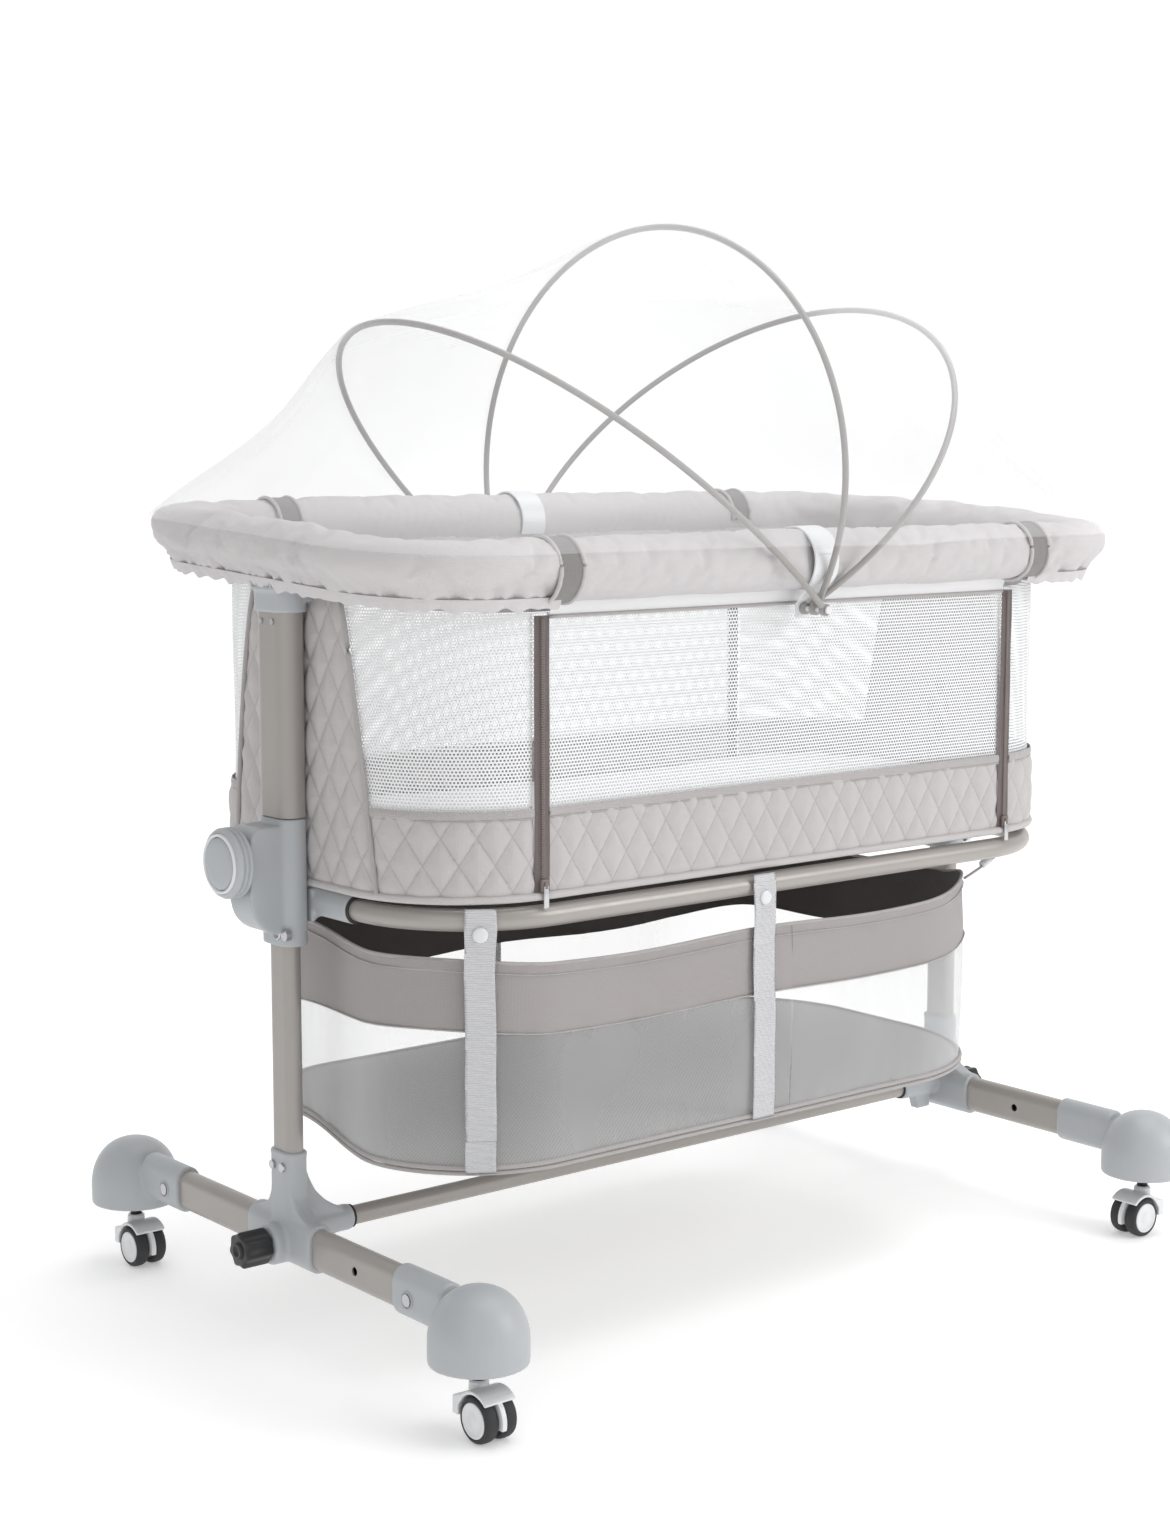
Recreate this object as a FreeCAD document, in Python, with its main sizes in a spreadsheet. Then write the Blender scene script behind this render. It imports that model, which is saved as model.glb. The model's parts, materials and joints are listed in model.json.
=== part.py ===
import FreeCAD, Part
import math
import os

import Sketcher
from FreeCAD import Placement, Rotation, Vector

# A bedside bassinet on a wheeled stand, in millimetres, +Z up.
# The origin is on the floor in the middle of the stand. +X runs along the bassinet to
# its right-hand end, and the front, with the zips and the drop panel, faces -Y.

DRIVING = {
    # stand
    "post_x": 430,             # post axis from the middle, both ends
    "foot_spread": 288,        # caster axis from the middle, front and back
    "foot_tube_z": 98,
    "foot_tube_tall": 38,
    "foot_tube_wide": 20,
    "foot_tube_end": 248,      # half length of a foot tube
    "tube_wall": 1.5,
    "slide_gap": 0.3,          # clearance all round a part that slides
    "fit_gap": 0.1,            # clearance of a fixed socket
    "pin_gap": 0.05,           # radial clearance of a pin or shaft
    "cap_radius": 43,
    "cap_bottom_z": 63,
    "cap_shoulder_z": 86,
    "cap_top_z": 128,
    "cap_wall": 3.5,
    "collar_reach": 106,       # from the caster axis to the collar's mouth
    "connector_reach": 52,     # half length of the sleeve on the foot tube
    "connector_wall": 4,
    "connector_top_z": 180,
    "crossbar_radius": 9,
    "crossbar_z": 104,
    "boss_x": 365,             # inner end of the crossbar's boss
    # casters
    "wheel_radius": 20,
    "wheel_width": 13,
    "wheel_space": 6,
    "caster_trail": 13,
    "axle_radius": 2.5,
    "stem_radius": 5.5,
    "hood_thickness": 2.5,
    # star knobs
    "star_radius": 17,
    "star_inner_x": 457,
    "star_outer_x": 487,
    "star_shank_radius": 3,
    # telescopic posts
    "lower_post_deep": 34,
    "lower_post_wide": 18,
    "lower_post_top_z": 640,
    "upper_post_deep": 50,
    "upper_post_wide": 28,
    "upper_post_wall": 1.6,
    "upper_post_top_z": 678,
    "housing_bottom_z": 370,
    "housing_top_z": 486,
    "spigot_height": 24,
    "guide_height": 24,
    "height_step": 25,
    "lobe_x": 476,
    "lobe_depth": 44,
    "knob_z": 449,
    "knob_x": 500,
    "knob_radius": 31.5,
    "lock_pin_radius": 4,
    "lock_pin_gap": 0.5,
    "bracket_bottom_z": 668,
    "bracket_top_z": 692,
    # rail, tilted about X
    "rail_half_length": 437.5,
    "rail_half_width": 217.5,
    "rail_corner": 90,
    "rail_z": 721.5,
    "rail_tilt": 3.3,          # degrees, back edge higher
    "rail_tube_radius": 9.5,
    "rail_tube_end": 150,
    "rail_bar_end": 190,
    "roll_radius": 27.75,
    # basket
    "wall_half_length": 412,
    "wall_half_width": 202,
    "wall_corner": 122,
    "wall_thickness": 5,
    "wall_bottom_z": 424,
    "wall_top_drop": 38,       # top edge below the rail's middle plane
    "zip_x": 296,
    "zip_width": 16,
    "ring_half_length": 402,
    "ring_half_width": 200,
    "ring_corner": 120,
    "ring_z": 408,
    "ring_tube_radius": 10,
    "ring_sleeve_radius": 13.6,
    "ring_sleeve_reach": 75,
    "deck_thickness": 8,
    "mattress_thickness": 32,
    "mattress_margin": 8,
    # net hoops
    "pivot_z": 664,
    "wire_radius": 3,
    "eye_radius": 5.5,
    "eye_width": 5,
    "hoop_pin_radius": 2.2,
    "net_offset": 5,
    "net_hem_rise": 17,
    "net_hem_reach": 5.5,
    "net_thickness": 0.8,
    # storage basket
    "storage_left_x": -409,
    "storage_right_x": 330,
    "storage_half_width": 207,
    "storage_bottom_z": 184,
    "storage_top_z": 368,
    "storage_left_corner": 129,
    "storage_right_corner": 155,
    "storage_wall_thickness": 2.5,
    "storage_floor_thickness": 6,
    "strap_width": 27,
    "strap_thickness": 1.5,
}


class Size:
    """A length held both as a number and as the sheet expression that drives it."""

    def __init__(self, number, text):
        self.number = number
        self.text = text

    def __add__(self, other):
        other = as_size(other)
        return Size(self.number + other.number, "(%s + %s)" % (self.text, other.text))

    __radd__ = __add__

    def __neg__(self):
        return Size(-self.number, "(0 - %s)" % self.text)

    def __sub__(self, other):
        return self + (-as_size(other))

    def __rsub__(self, other):
        return as_size(other) - self

    def __mul__(self, factor):
        return Size(self.number * factor, "(%s * %s)" % (self.text, float(factor)))

    __rmul__ = __mul__

    def __truediv__(self, divisor):
        return Size(self.number / divisor, "(%s / %s)" % (self.text, float(divisor)))


def as_size(item):
    if isinstance(item, Size):
        return item
    return Size(float(item), str(float(item)))


doc = FreeCAD.newDocument("bassinet_on_stand")
sheet = doc.addObject("Spreadsheet::Sheet", "sizes")
for row, (alias, number) in enumerate(DRIVING.items(), start=1):
    sheet.set("A%d" % row, alias)
    sheet.set("B%d" % row, str(number))
    sheet.setAlias("B%d" % row, alias)
doc.recompute()


def size(alias):
    return Size(float(sheet.get(alias)), "sizes.%s" % alias)


SIDES = {"left": -1, "right": 1}
ENDS = {"front": -1, "back": 1}
post_x = size("post_x")
slide_gap = size("slide_gap")
fit_gap = size("fit_gap")
pin_gap = size("pin_gap")


# Building blocks. Each one makes an object whose sizes and place are bound to the sheet.

TURN_TO = {
    "X": Rotation(Vector(0, 1, 0), 90),
    "Y": Rotation(Vector(1, 0, 0), -90),
    "Z": Rotation(),
}
helper_count = 0


def new_object(kind, stem):
    global helper_count
    helper_count += 1
    return doc.addObject(kind, "%s_%03d" % (stem, helper_count))


def bind(item, prop, length):
    length = as_size(length)
    item.setExpression(prop, length.text)


def place(item, x=0, y=0, z=0, rotation=Rotation()):
    x, y, z = as_size(x), as_size(y), as_size(z)
    item.Placement = Placement(Vector(x.number, y.number, z.number), rotation)
    bind(item, "Placement.Base.x", x)
    bind(item, "Placement.Base.y", y)
    bind(item, "Placement.Base.z", z)
    return item


def span(side, inner, outer):
    """The low and high ends of a stretch that runs outwards on the given side."""
    if side > 0:
        return as_size(inner), as_size(outer)
    return -as_size(outer), -as_size(inner)


def box(x, y, z):
    item = new_object("Part::Box", "box")
    bind(item, "Length", as_size(x[1]) - x[0])
    bind(item, "Width", as_size(y[1]) - y[0])
    bind(item, "Height", as_size(z[1]) - z[0])
    return place(item, x[0], y[0], z[0])


def rod(axis, ends, radius, x=0, y=0, z=0):
    """A cylinder along an axis, between two coordinates on it."""
    item = new_object("Part::Cylinder", "rod")
    bind(item, "Radius", radius)
    bind(item, "Height", as_size(ends[1]) - ends[0])
    start = {"X": (ends[0], y, z), "Y": (x, ends[0], z), "Z": (x, y, ends[0])}[axis]
    return place(item, *start, rotation=TURN_TO[axis])


def fuse(*items):
    joined = new_object("Part::MultiFuse", "fuse")
    joined.Shapes = list(items)
    return joined


def common(*items):
    shared = new_object("Part::MultiCommon", "common")
    shared.Shapes = list(items)
    return shared


def cut(base, *tools):
    result = new_object("Part::Cut", "cut")
    result.Base = base
    result.Tool = tools[0] if len(tools) == 1 else fuse(*tools)
    return result


def group(*items):
    """Separate solids that share one node."""
    held = new_object("Part::Compound", "group")
    held.Links = list(items)
    return held


def draw_oval(sketch, along, across, upright):
    """A flat oval about the sketch's origin: two straight sides and two round ends."""
    along, across = as_size(along), as_size(across)
    radius = across / 2
    reach = (along - across).number / 2
    r = radius.number
    half_turn = math.pi / 2
    turn = half_turn if upright else 0

    def spot(u, v):
        return Vector(-v, u, 0) if upright else Vector(u, v, 0)

    up = Vector(0, 0, 1)
    first = len(sketch.Geometry)
    sketch.addGeometry(Part.ArcOfCircle(
        Part.Circle(spot(reach, 0), up, r), turn - half_turn, turn + half_turn), False)
    sketch.addGeometry(Part.LineSegment(spot(reach, r), spot(-reach, r)), False)
    sketch.addGeometry(Part.ArcOfCircle(
        Part.Circle(spot(-reach, 0), up, r), turn + half_turn, turn + 3 * half_turn), False)
    sketch.addGeometry(Part.LineSegment(spot(-reach, -r), spot(reach, -r)), False)
    a, b, c, d = range(first, first + 4)
    for one, other in ((a, b), (b, c), (c, d), (d, a)):
        sketch.addConstraint(Sketcher.Constraint("Tangent", one, 2, other, 1))
    sketch.addConstraint(Sketcher.Constraint("Equal", a, c))
    sketch.addConstraint(Sketcher.Constraint("Vertical" if upright else "Horizontal", b))
    sketch.addConstraint(Sketcher.Constraint("Symmetric", a, 3, c, 3, -1, 1))
    place_of_radius = sketch.addConstraint(Sketcher.Constraint("Radius", a, r))
    bind(sketch, "Constraints[%d]" % place_of_radius, radius)
    kind = "DistanceY" if upright else "DistanceX"
    place_of_reach = sketch.addConstraint(Sketcher.Constraint(kind, c, 3, a, 3, 2 * reach))
    bind(sketch, "Constraints[%d]" % place_of_reach, along - across)


def draw_polygon(sketch, points):
    """A closed outline whose corners are all bound to their distances from the origin."""
    count = len(points)
    spots = [Vector(as_size(u).number, as_size(v).number, 0) for u, v in points]
    for index in range(count):
        sketch.addGeometry(Part.LineSegment(spots[index], spots[(index + 1) % count]), False)
    for index in range(count):
        after = (index + 1) % count
        sketch.addConstraint(Sketcher.Constraint("Coincident", index, 2, after, 1))
    for index, pair in enumerate(points):
        for kind, axis, length in (("DistanceX", -2, pair[0]), ("DistanceY", -1, pair[1])):
            length = as_size(length)
            if abs(length.number) < 1e-9:
                sketch.addConstraint(Sketcher.Constraint("PointOnObject", index, 1, axis))
                continue
            spot = sketch.addConstraint(
                Sketcher.Constraint(kind, -1, 1, index, 1, length.number))
            bind(sketch, "Constraints[%d]" % spot, length)


def new_body(name):
    return doc.addObject("PartDesign::Body", name)


def new_sketch(body, plane, u=0, v=0, w=0):
    """A sketch on one of the body's own origin planes, moved by u and v in it, w off it."""
    sketch = body.newObject("Sketcher::SketchObject", body.Name + "_sketch")
    origin_plane = [item for item in body.Origin.OriginFeatures if item.Role == plane][0]
    sketch.AttachmentSupport = (origin_plane, "")
    sketch.MapMode = "FlatFace"
    bind(sketch, "AttachmentOffset.Base.x", u)
    bind(sketch, "AttachmentOffset.Base.y", v)
    bind(sketch, "AttachmentOffset.Base.z", w)
    return sketch


def pad(body, sketch, length):
    feature = body.newObject("PartDesign::Pad", body.Name + "_pad")
    feature.Profile = sketch
    bind(feature, "Length", length)
    return feature


def oval_bar(axis, ends, along, across, x=0, y=0, z=0, hollow=None):
    """A flat-oval bar or tube. Its long side is upright, or along Y for a post."""
    helper = new_object("PartDesign::Body", "oval")
    if axis == "Z":
        sketch = new_sketch(helper, "XY_Plane", x, y, ends[0])
    elif axis == "Y":
        sketch = new_sketch(helper, "XZ_Plane", x, z, -as_size(ends[1]))
    else:
        sketch = new_sketch(helper, "YZ_Plane", y, z, ends[0])
    draw_oval(sketch, along, across, True)
    if hollow is not None:
        wall = hollow * 2
        draw_oval(sketch, as_size(along) - wall, as_size(across) - wall, True)
    pad(helper, sketch, as_size(ends[1]) - ends[0])
    return helper


def plate(name, x, y, z, corner):
    """A flat board with rounded plan corners."""
    body = new_body(name)
    sketch = new_sketch(body, "XY_Plane", 0, 0, z[0])
    draw_polygon(sketch, [(x[0], y[0]), (x[1], y[0]), (x[1], y[1]), (x[0], y[1])])
    block = pad(body, sketch, as_size(z[1]) - z[0])
    doc.recompute()
    upright = []
    for number, edge in enumerate(block.Shape.Edges, start=1):
        low, high = edge.Vertexes[0].Point, edge.Vertexes[-1].Point
        if abs(low.z - high.z) > 1e-6:
            upright.append("Edge%d" % number)
    rounding = body.newObject("PartDesign::Fillet", name + "_corners")
    rounding.Base = (block, upright)
    bind(rounding, "Radius", corner)
    return body


nodes = {}


def name_node(label, item):
    """The object becomes a finished sub-part with its own name."""
    item.Label = label
    nodes[label] = item
    return item


def shape_node(label, shape, placement=Placement()):
    """A sub-part whose shape no primitive or sketch feature makes."""
    item = doc.addObject("Part::Feature", "shaped_" + label)
    item.Shape = shape
    item.Placement = placement
    return name_node(label, item)


# Stand: foot connectors, lower posts, crossbar and their screws.

foot_tube_z = size("foot_tube_z")
foot_tube_tall = size("foot_tube_tall")
foot_tube_wide = size("foot_tube_wide")
tube_wall = size("tube_wall")
connector_wall = size("connector_wall")
connector_reach = size("connector_reach")
connector_top_z = size("connector_top_z")
lower_post_deep = size("lower_post_deep")
lower_post_wide = size("lower_post_wide")
crossbar_radius = size("crossbar_radius")
crossbar_z = size("crossbar_z")
boss_x = size("boss_x")
star_inner_x = size("star_inner_x")
star_shank_radius = size("star_shank_radius")
sleeve_wide = foot_tube_wide + connector_wall * 2
sleeve_tall = foot_tube_tall + connector_wall * 2
sleeve_top_z = foot_tube_z + sleeve_tall / 2
lower_post_bottom_z = foot_tube_z + foot_tube_tall / 2 + connector_wall
crossbar_end_x = post_x - foot_tube_wide / 2 - connector_wall


def gusset(side):
    """The web from the post's socket down to the crossbar's boss."""
    helper = new_object("PartDesign::Body", "gusset")
    sketch = new_sketch(helper, "XZ_Plane", 0, 0, -7)
    inner = (post_x - 50) * side
    outer = (post_x - 9) * side
    draw_polygon(sketch, [(outer, crossbar_z), (inner, crossbar_z),
                          (inner, crossbar_z + 14), (outer, connector_top_z - 14)])
    pad(helper, sketch, 14)
    return helper


def front_web():
    """The low ridge that runs from the post's socket out along the sleeve."""
    helper = new_object("PartDesign::Body", "web")
    sketch = new_sketch(helper, "YZ_Plane", 0, 0, -6)
    reach = connector_reach - 4
    draw_polygon(sketch, [(-reach, foot_tube_z), (reach, foot_tube_z),
                          (reach, sleeve_top_z + 1), (17, connector_top_z - 24),
                          (-17, connector_top_z - 24), (-reach, sleeve_top_z + 1)])
    pad(helper, sketch, 12)
    return helper


for side_name, side in SIDES.items():
    x = post_x * side
    sleeve = oval_bar("Y", (-connector_reach, connector_reach), sleeve_tall, sleeve_wide,
                      x=x, z=foot_tube_z)
    socket = oval_bar("Z", (foot_tube_z, connector_top_z), lower_post_deep + 6,
                      lower_post_wide + 6, x=x)
    boss = rod("X", span(side, boss_x, post_x), crossbar_radius + 3, z=crossbar_z)
    pad_boss = rod("X", span(side, post_x, star_inner_x - 1), 19, z=foot_tube_z - 3)
    web = front_web()
    place(web, x)
    body = fuse(sleeve, socket, boss, pad_boss, gusset(side), web)
    tube_bore = oval_bar("Y", (-connector_reach - 30, connector_reach + 30),
                         foot_tube_tall + slide_gap * 2, foot_tube_wide + slide_gap * 2,
                         x=x, z=foot_tube_z)
    post_bore = oval_bar("Z", (lower_post_bottom_z, connector_top_z + 10),
                         lower_post_deep + fit_gap * 2, lower_post_wide + fit_gap * 2, x=x)
    bar_bore = rod("X", span(side, boss_x - 10, crossbar_end_x), crossbar_radius + fit_gap,
                   z=crossbar_z)
    knob_bore = rod("X", span(side, post_x, star_inner_x + 10),
                    star_shank_radius + pin_gap, z=foot_tube_z - 3)
    name_node("foot_connector_" + side_name,
              cut(body, tube_bore, post_bore, bar_bore, knob_bore))

    post = oval_bar("Z", (lower_post_bottom_z, size("lower_post_top_z")), lower_post_deep,
                    lower_post_wide, x=x, hollow=tube_wall)
    holes = []
    for level in range(-1, 5):
        hole_z = size("knob_z") + size("height_step") * level
        holes.append(rod("X", span(side, post_x, post_x + 20),
                         size("lock_pin_radius") + slide_gap, z=hole_z))
    name_node("lower_post_" + side_name, cut(post, *holes))

name_node("crossbar", cut(
    rod("X", (-crossbar_end_x, crossbar_end_x), crossbar_radius, z=crossbar_z),
    rod("X", (-crossbar_end_x - 5, crossbar_end_x + 5), crossbar_radius - tube_wall,
        z=crossbar_z)))

frame_screws = []
for side in SIDES.values():
    face = post_x + lower_post_wide / 2 + 3
    for end in ENDS.values():
        frame_screws.append(rod("X", span(side, face + fit_gap, face + 2), 4,
                                y=8 * end, z=connector_top_z - 14))
name_node("frame_screws", group(*frame_screws))


# Feet: sliding tubes, domed end caps and the screws that hold the caps.

foot_spread = size("foot_spread")
cap_radius = size("cap_radius")
cap_wall = size("cap_wall")
cap_bottom_z = size("cap_bottom_z")
cap_shoulder_z = size("cap_shoulder_z")
cap_top_z = size("cap_top_z")
stem_radius = size("stem_radius")
collar_mouth_y = foot_spread - size("collar_reach")
collar_tall = foot_tube_tall + 7
collar_wide = foot_tube_wide + 7
stem_top_z = cap_top_z - 20


def dome(x, y, shrink):
    """The helmet of an end cap: a straight wall with half an ellipsoid on it."""
    radius = cap_radius - shrink
    wall = rod("Z", (cap_bottom_z, cap_shoulder_z), radius, x=x, y=y)
    top = new_object("Part::Ellipsoid", "dome")
    bind(top, "Radius1", cap_top_z - cap_shoulder_z - shrink)
    bind(top, "Radius2", radius)
    bind(top, "Radius3", radius)
    top.Angle1 = 0
    place(top, x, y, cap_shoulder_z)
    return fuse(wall, top)


for side_name, side in SIDES.items():
    x = post_x * side
    tube_end = size("foot_tube_end")
    tube = oval_bar("Y", (-tube_end, tube_end), foot_tube_tall, foot_tube_wide, x=x,
                    z=foot_tube_z, hollow=tube_wall)
    button_hole = rod("X", (x - foot_tube_wide, x), 4, y=-120, z=foot_tube_z)
    name_node("foot_tube_" + side_name, cut(tube, button_hole))
    screws = []
    for end_name, end in ENDS.items():
        y = foot_spread * end
        low, high = span(end, collar_mouth_y, foot_spread - cap_radius + 8)
        collar = oval_bar("Y", (low, high), collar_tall, collar_wide, x=x, z=foot_tube_z)
        shell = cut(dome(x, y, as_size(0)), dome(x, y, cap_wall))
        stem_boss = rod("Z", (cap_bottom_z + 2, cap_top_z - 12), stem_radius + 3.5, x=x, y=y)
        low, high = span(end, collar_mouth_y - 10, tube_end + fit_gap)
        tube_bore = oval_bar("Y", (low, high), foot_tube_tall + fit_gap * 2,
                             foot_tube_wide + fit_gap * 2, x=x, z=foot_tube_z)
        stem_bore = rod("Z", (cap_bottom_z - 10, stem_top_z), stem_radius + pin_gap, x=x, y=y)
        name_node("foot_cap_%s_%s" % (side_name, end_name),
                  cut(fuse(collar, shell, stem_boss), tube_bore, stem_bore))
        face = post_x + collar_wide / 2
        screws.append(rod("X", span(side, face + fit_gap, face + 1.6), 5.5,
                          y=(collar_mouth_y + 23) * end, z=foot_tube_z - 2))
    name_node("cap_screws_" + side_name, group(*screws))


# Casters: twin wheels on one axle under a hood that swivels about the stem.

wheel_radius = size("wheel_radius")
wheel_width = size("wheel_width")
wheel_space = size("wheel_space")
caster_trail = size("caster_trail")
axle_radius = size("axle_radius")
hood_thickness = size("hood_thickness")
# Heading is how far each caster is turned about its stem: at 0 it trails to the front.
CASTERS = {("left", "front"): 0, ("left", "back"): 0, ("right", "front"): -90,
           ("right", "back"): -60}


def caster_fork(x, y, heading):
    """The stem, the web between the wheels and the hood over them."""
    stem = rod("Z", (wheel_radius * 2 + 2, stem_top_z - 1), stem_radius)
    hood_radius = wheel_radius + 2 + hood_thickness
    half = wheel_space / 2 + wheel_width + 1
    outer = rod("X", (-half, half), hood_radius, y=-caster_trail, z=wheel_radius)
    inner = rod("X", (-half - 1, half + 1), wheel_radius + 2, y=-caster_trail,
                z=wheel_radius)
    keep = box((-half - 1, half + 1), (-caster_trail - 17, 30), (wheel_radius + 1, 60))
    hood = common(cut(outer, inner), keep)
    web_half = wheel_space / 2 - 0.6
    web_disc = rod("X", (-web_half, web_half), wheel_radius + 3, y=-caster_trail,
                   z=wheel_radius)
    web_cut = box((-10, 10), (-60, 30), (-10, wheel_radius - 6))
    hub = rod("Z", (wheel_radius * 2 + 2, wheel_radius * 2 + 9), 9)
    neck = common(box((-web_half, web_half), (-9, 9), (wheel_radius + 4, wheel_radius * 2 + 5)),
                  rod("Z", (0, 60), 9))
    body = cut(fuse(hood, web_disc, hub, neck, stem), web_cut)
    axle_bore = rod("X", (-10, 10), axle_radius + pin_gap, y=-caster_trail, z=wheel_radius)
    return place(cut(body, axle_bore), x, y, 0, Rotation(Vector(0, 0, 1), heading))


def caster_wheels(x, y, heading):
    """Both wheels, each a tyre round a disc, with the axle that joins them."""
    pieces = []
    for side in SIDES.values():
        low, high = span(side, wheel_space / 2, wheel_space / 2 + wheel_width)
        centre = {"y": -caster_trail, "z": wheel_radius}
        tread = rod("X", (low, high), wheel_radius, **centre)
        disc_radius = wheel_radius * 0.78
        pieces.append(cut(tread, rod("X", (low - 1, high + 1), disc_radius, **centre)))
        disc = rod("X", (low + 0.5, high - 0.5), disc_radius - 0.02, **centre)
        pieces.append(cut(disc, rod("X", (low - 1, high + 1), axle_radius, **centre)))
    reach = wheel_space / 2 + wheel_width - 2
    pieces.append(rod("X", (-reach, reach), axle_radius - 0.02, y=-caster_trail,
                      z=wheel_radius))
    return place(group(*pieces), x, y, 0, Rotation(Vector(0, 0, 1), heading))


for (side_name, end_name), heading in CASTERS.items():
    x = post_x * SIDES[side_name]
    y = foot_spread * ENDS[end_name]
    label = "_%s_%s" % (side_name, end_name)
    name_node("caster_fork" + label, caster_fork(x, y, heading))
    name_node("caster_wheels" + label, caster_wheels(x, y, heading))


# Star knobs: a fluted grip on a screw that clamps the sliding foot tube.

star_radius = size("star_radius")
star_outer_x = size("star_outer_x")
STAR_LOBES = 7
for side_name, side in SIDES.items():
    grip = rod("X", span(side, star_inner_x, star_outer_x), star_radius,
               z=foot_tube_z - 3)
    flutes = []
    for lobe in range(STAR_LOBES):
        angle = 2 * math.pi * lobe / STAR_LOBES
        flutes.append(rod("X", span(side, star_inner_x + 6, star_outer_x + 5), 4.5,
                          y=(star_radius + 1.5) * math.cos(angle),
                          z=foot_tube_z - 3 + (star_radius + 1.5) * math.sin(angle)))
    shank = rod("X", span(side, post_x + foot_tube_wide / 2 + size("lock_pin_gap"),
                          star_inner_x + 2), star_shank_radius, z=foot_tube_z - 3)
    name_node("star_knob_" + side_name, fuse(cut(grip, *flutes), shank))


# Upper posts: tube, height housing, bracket under the rail, guide bushes.

upper_post_deep = size("upper_post_deep")
upper_post_wide = size("upper_post_wide")
upper_post_wall = size("upper_post_wall")
upper_post_top_z = size("upper_post_top_z")
housing_bottom_z = size("housing_bottom_z")
housing_top_z = size("housing_top_z")
knob_z = size("knob_z")
knob_x = size("knob_x")
knob_radius = size("knob_radius")
lobe_x = size("lobe_x")
lobe_depth = size("lobe_depth")
lock_pin_radius = size("lock_pin_radius")
bracket_bottom_z = size("bracket_bottom_z")
bracket_top_z = size("bracket_top_z")
rail_z = size("rail_z")
rail_tube_radius = size("rail_tube_radius")
rail_half_length = size("rail_half_length")
bolt_z = bracket_top_z - 5
screw_rise = 12
ear_radius = 12
upper_fasteners = []
post_guides = []


def housing_lobe(side):
    """The outboard swelling behind the knob, round in plan and round underneath."""
    low, high = span(side, post_x - 4, lobe_x)
    plan = oval_bar("Z", (housing_bottom_z, housing_top_z - 4), lobe_x - post_x + 4,
                    lobe_depth)
    plan.Placement = Placement(Vector((low + high).number / 2, 0, 0),
                               Rotation(Vector(0, 0, 1), 90))
    bind(plan, "Placement.Base.x", (low + high) / 2)
    drop = 28
    below = rod("Y", (-60, 60), drop, x=(lobe_x + 1 - drop) * side, z=knob_z - 36)
    above = box(span(side, post_x - 10, lobe_x + 1), (-60, 60), (knob_z - 36, housing_top_z))
    return common(plan, fuse(below, above))


for side_name, side in SIDES.items():
    x = post_x * side
    post = oval_bar("Z", (housing_top_z + fit_gap, upper_post_top_z), upper_post_deep,
                    upper_post_wide, x=x, hollow=upper_post_wall)
    name_node("upper_post_" + side_name, post)

    sleeve = oval_bar("Z", (housing_bottom_z, housing_top_z), upper_post_deep,
                      upper_post_wide, x=x)
    shrink = (upper_post_wall + fit_gap) * 2
    spigot = oval_bar("Z", (housing_top_z, housing_top_z + size("spigot_height")),
                      upper_post_deep - shrink, upper_post_wide - shrink, x=x)
    bore = oval_bar("Z", (housing_bottom_z - 10, housing_top_z + size("spigot_height") + 10),
                    lower_post_deep + slide_gap * 2, lower_post_wide + slide_gap * 2, x=x)
    pin_bore = rod("X", span(side, post_x, lobe_x + 10), lock_pin_radius + pin_gap, z=knob_z)
    face = post_x + upper_post_wide / 2
    screw_bore = rod("X", span(side, face - 4 - fit_gap, face + 10), 5 + fit_gap,
                     y=-lobe_depth / 2, z=housing_bottom_z + screw_rise)
    name_node("height_housing_" + side_name,
              cut(fuse(sleeve, housing_lobe(side), spigot), bore, pin_bore, screw_bore))

    guide_top = size("lower_post_top_z")
    bush = oval_bar("Z", (guide_top - size("guide_height"), guide_top),
                    upper_post_deep - (upper_post_wall + slide_gap) * 2,
                    upper_post_wide - (upper_post_wall + slide_gap) * 2, x=x)
    bush_bore = oval_bar("Z", (guide_top - size("guide_height") - 5, guide_top + 5),
                         lower_post_deep + fit_gap, lower_post_wide + fit_gap, x=x)
    post_guides.append(cut(bush, bush_bore))

    cap = oval_bar("Z", (bracket_bottom_z, bracket_top_z), upper_post_deep + 6,
                   upper_post_wide + 6, x=x)
    ear_x = (post_x - 30) * side
    ear_y = (-upper_post_deep / 2 - 3, -upper_post_deep / 2 + 15)
    ear = rod("Y", ear_y, ear_radius, x=ear_x, z=bolt_z)
    arm = box(span(side, post_x - 30, post_x), ear_y, (bolt_z - 8, bolt_z + 5))
    neck = box(span(side, rail_half_length - 8, rail_half_length + 8), (-9, 9),
               (bracket_top_z - 4, rail_z - rail_tube_radius - fit_gap - 0.8))
    socket = oval_bar("Z", (bracket_bottom_z - 10, upper_post_top_z + fit_gap),
                      upper_post_deep + fit_gap * 2, upper_post_wide + fit_gap * 2, x=x)
    recess = rod("Y", (ear_y[0] - 5, ear_y[0] + 5), ear_radius - 3, x=ear_x, z=bolt_z)
    name_node("post_bracket_" + side_name,
              cut(fuse(cap, ear, arm, neck), socket, recess))
    upper_fasteners.append(rod("Y", (ear_y[0] + 0.5, ear_y[0] + 5 - fit_gap), 6,
                               x=ear_x, z=bolt_z))
    for rivet_y in (-9, 9):
        upper_fasteners.append(rod("X", span(side, face + fit_gap, face + 1.4), 2.6,
                                   y=rivet_y, z=bracket_bottom_z - 8))
    upper_fasteners.append(rod("X", span(side, face - 4, face + 1.4), 5,
                               y=-lobe_depth / 2, z=housing_bottom_z + screw_rise))

name_node("upper_fasteners", group(*upper_fasteners))
name_node("post_guides", group(*post_guides))


# Height knobs: a ringed grip with the pin that locks the post.

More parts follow.
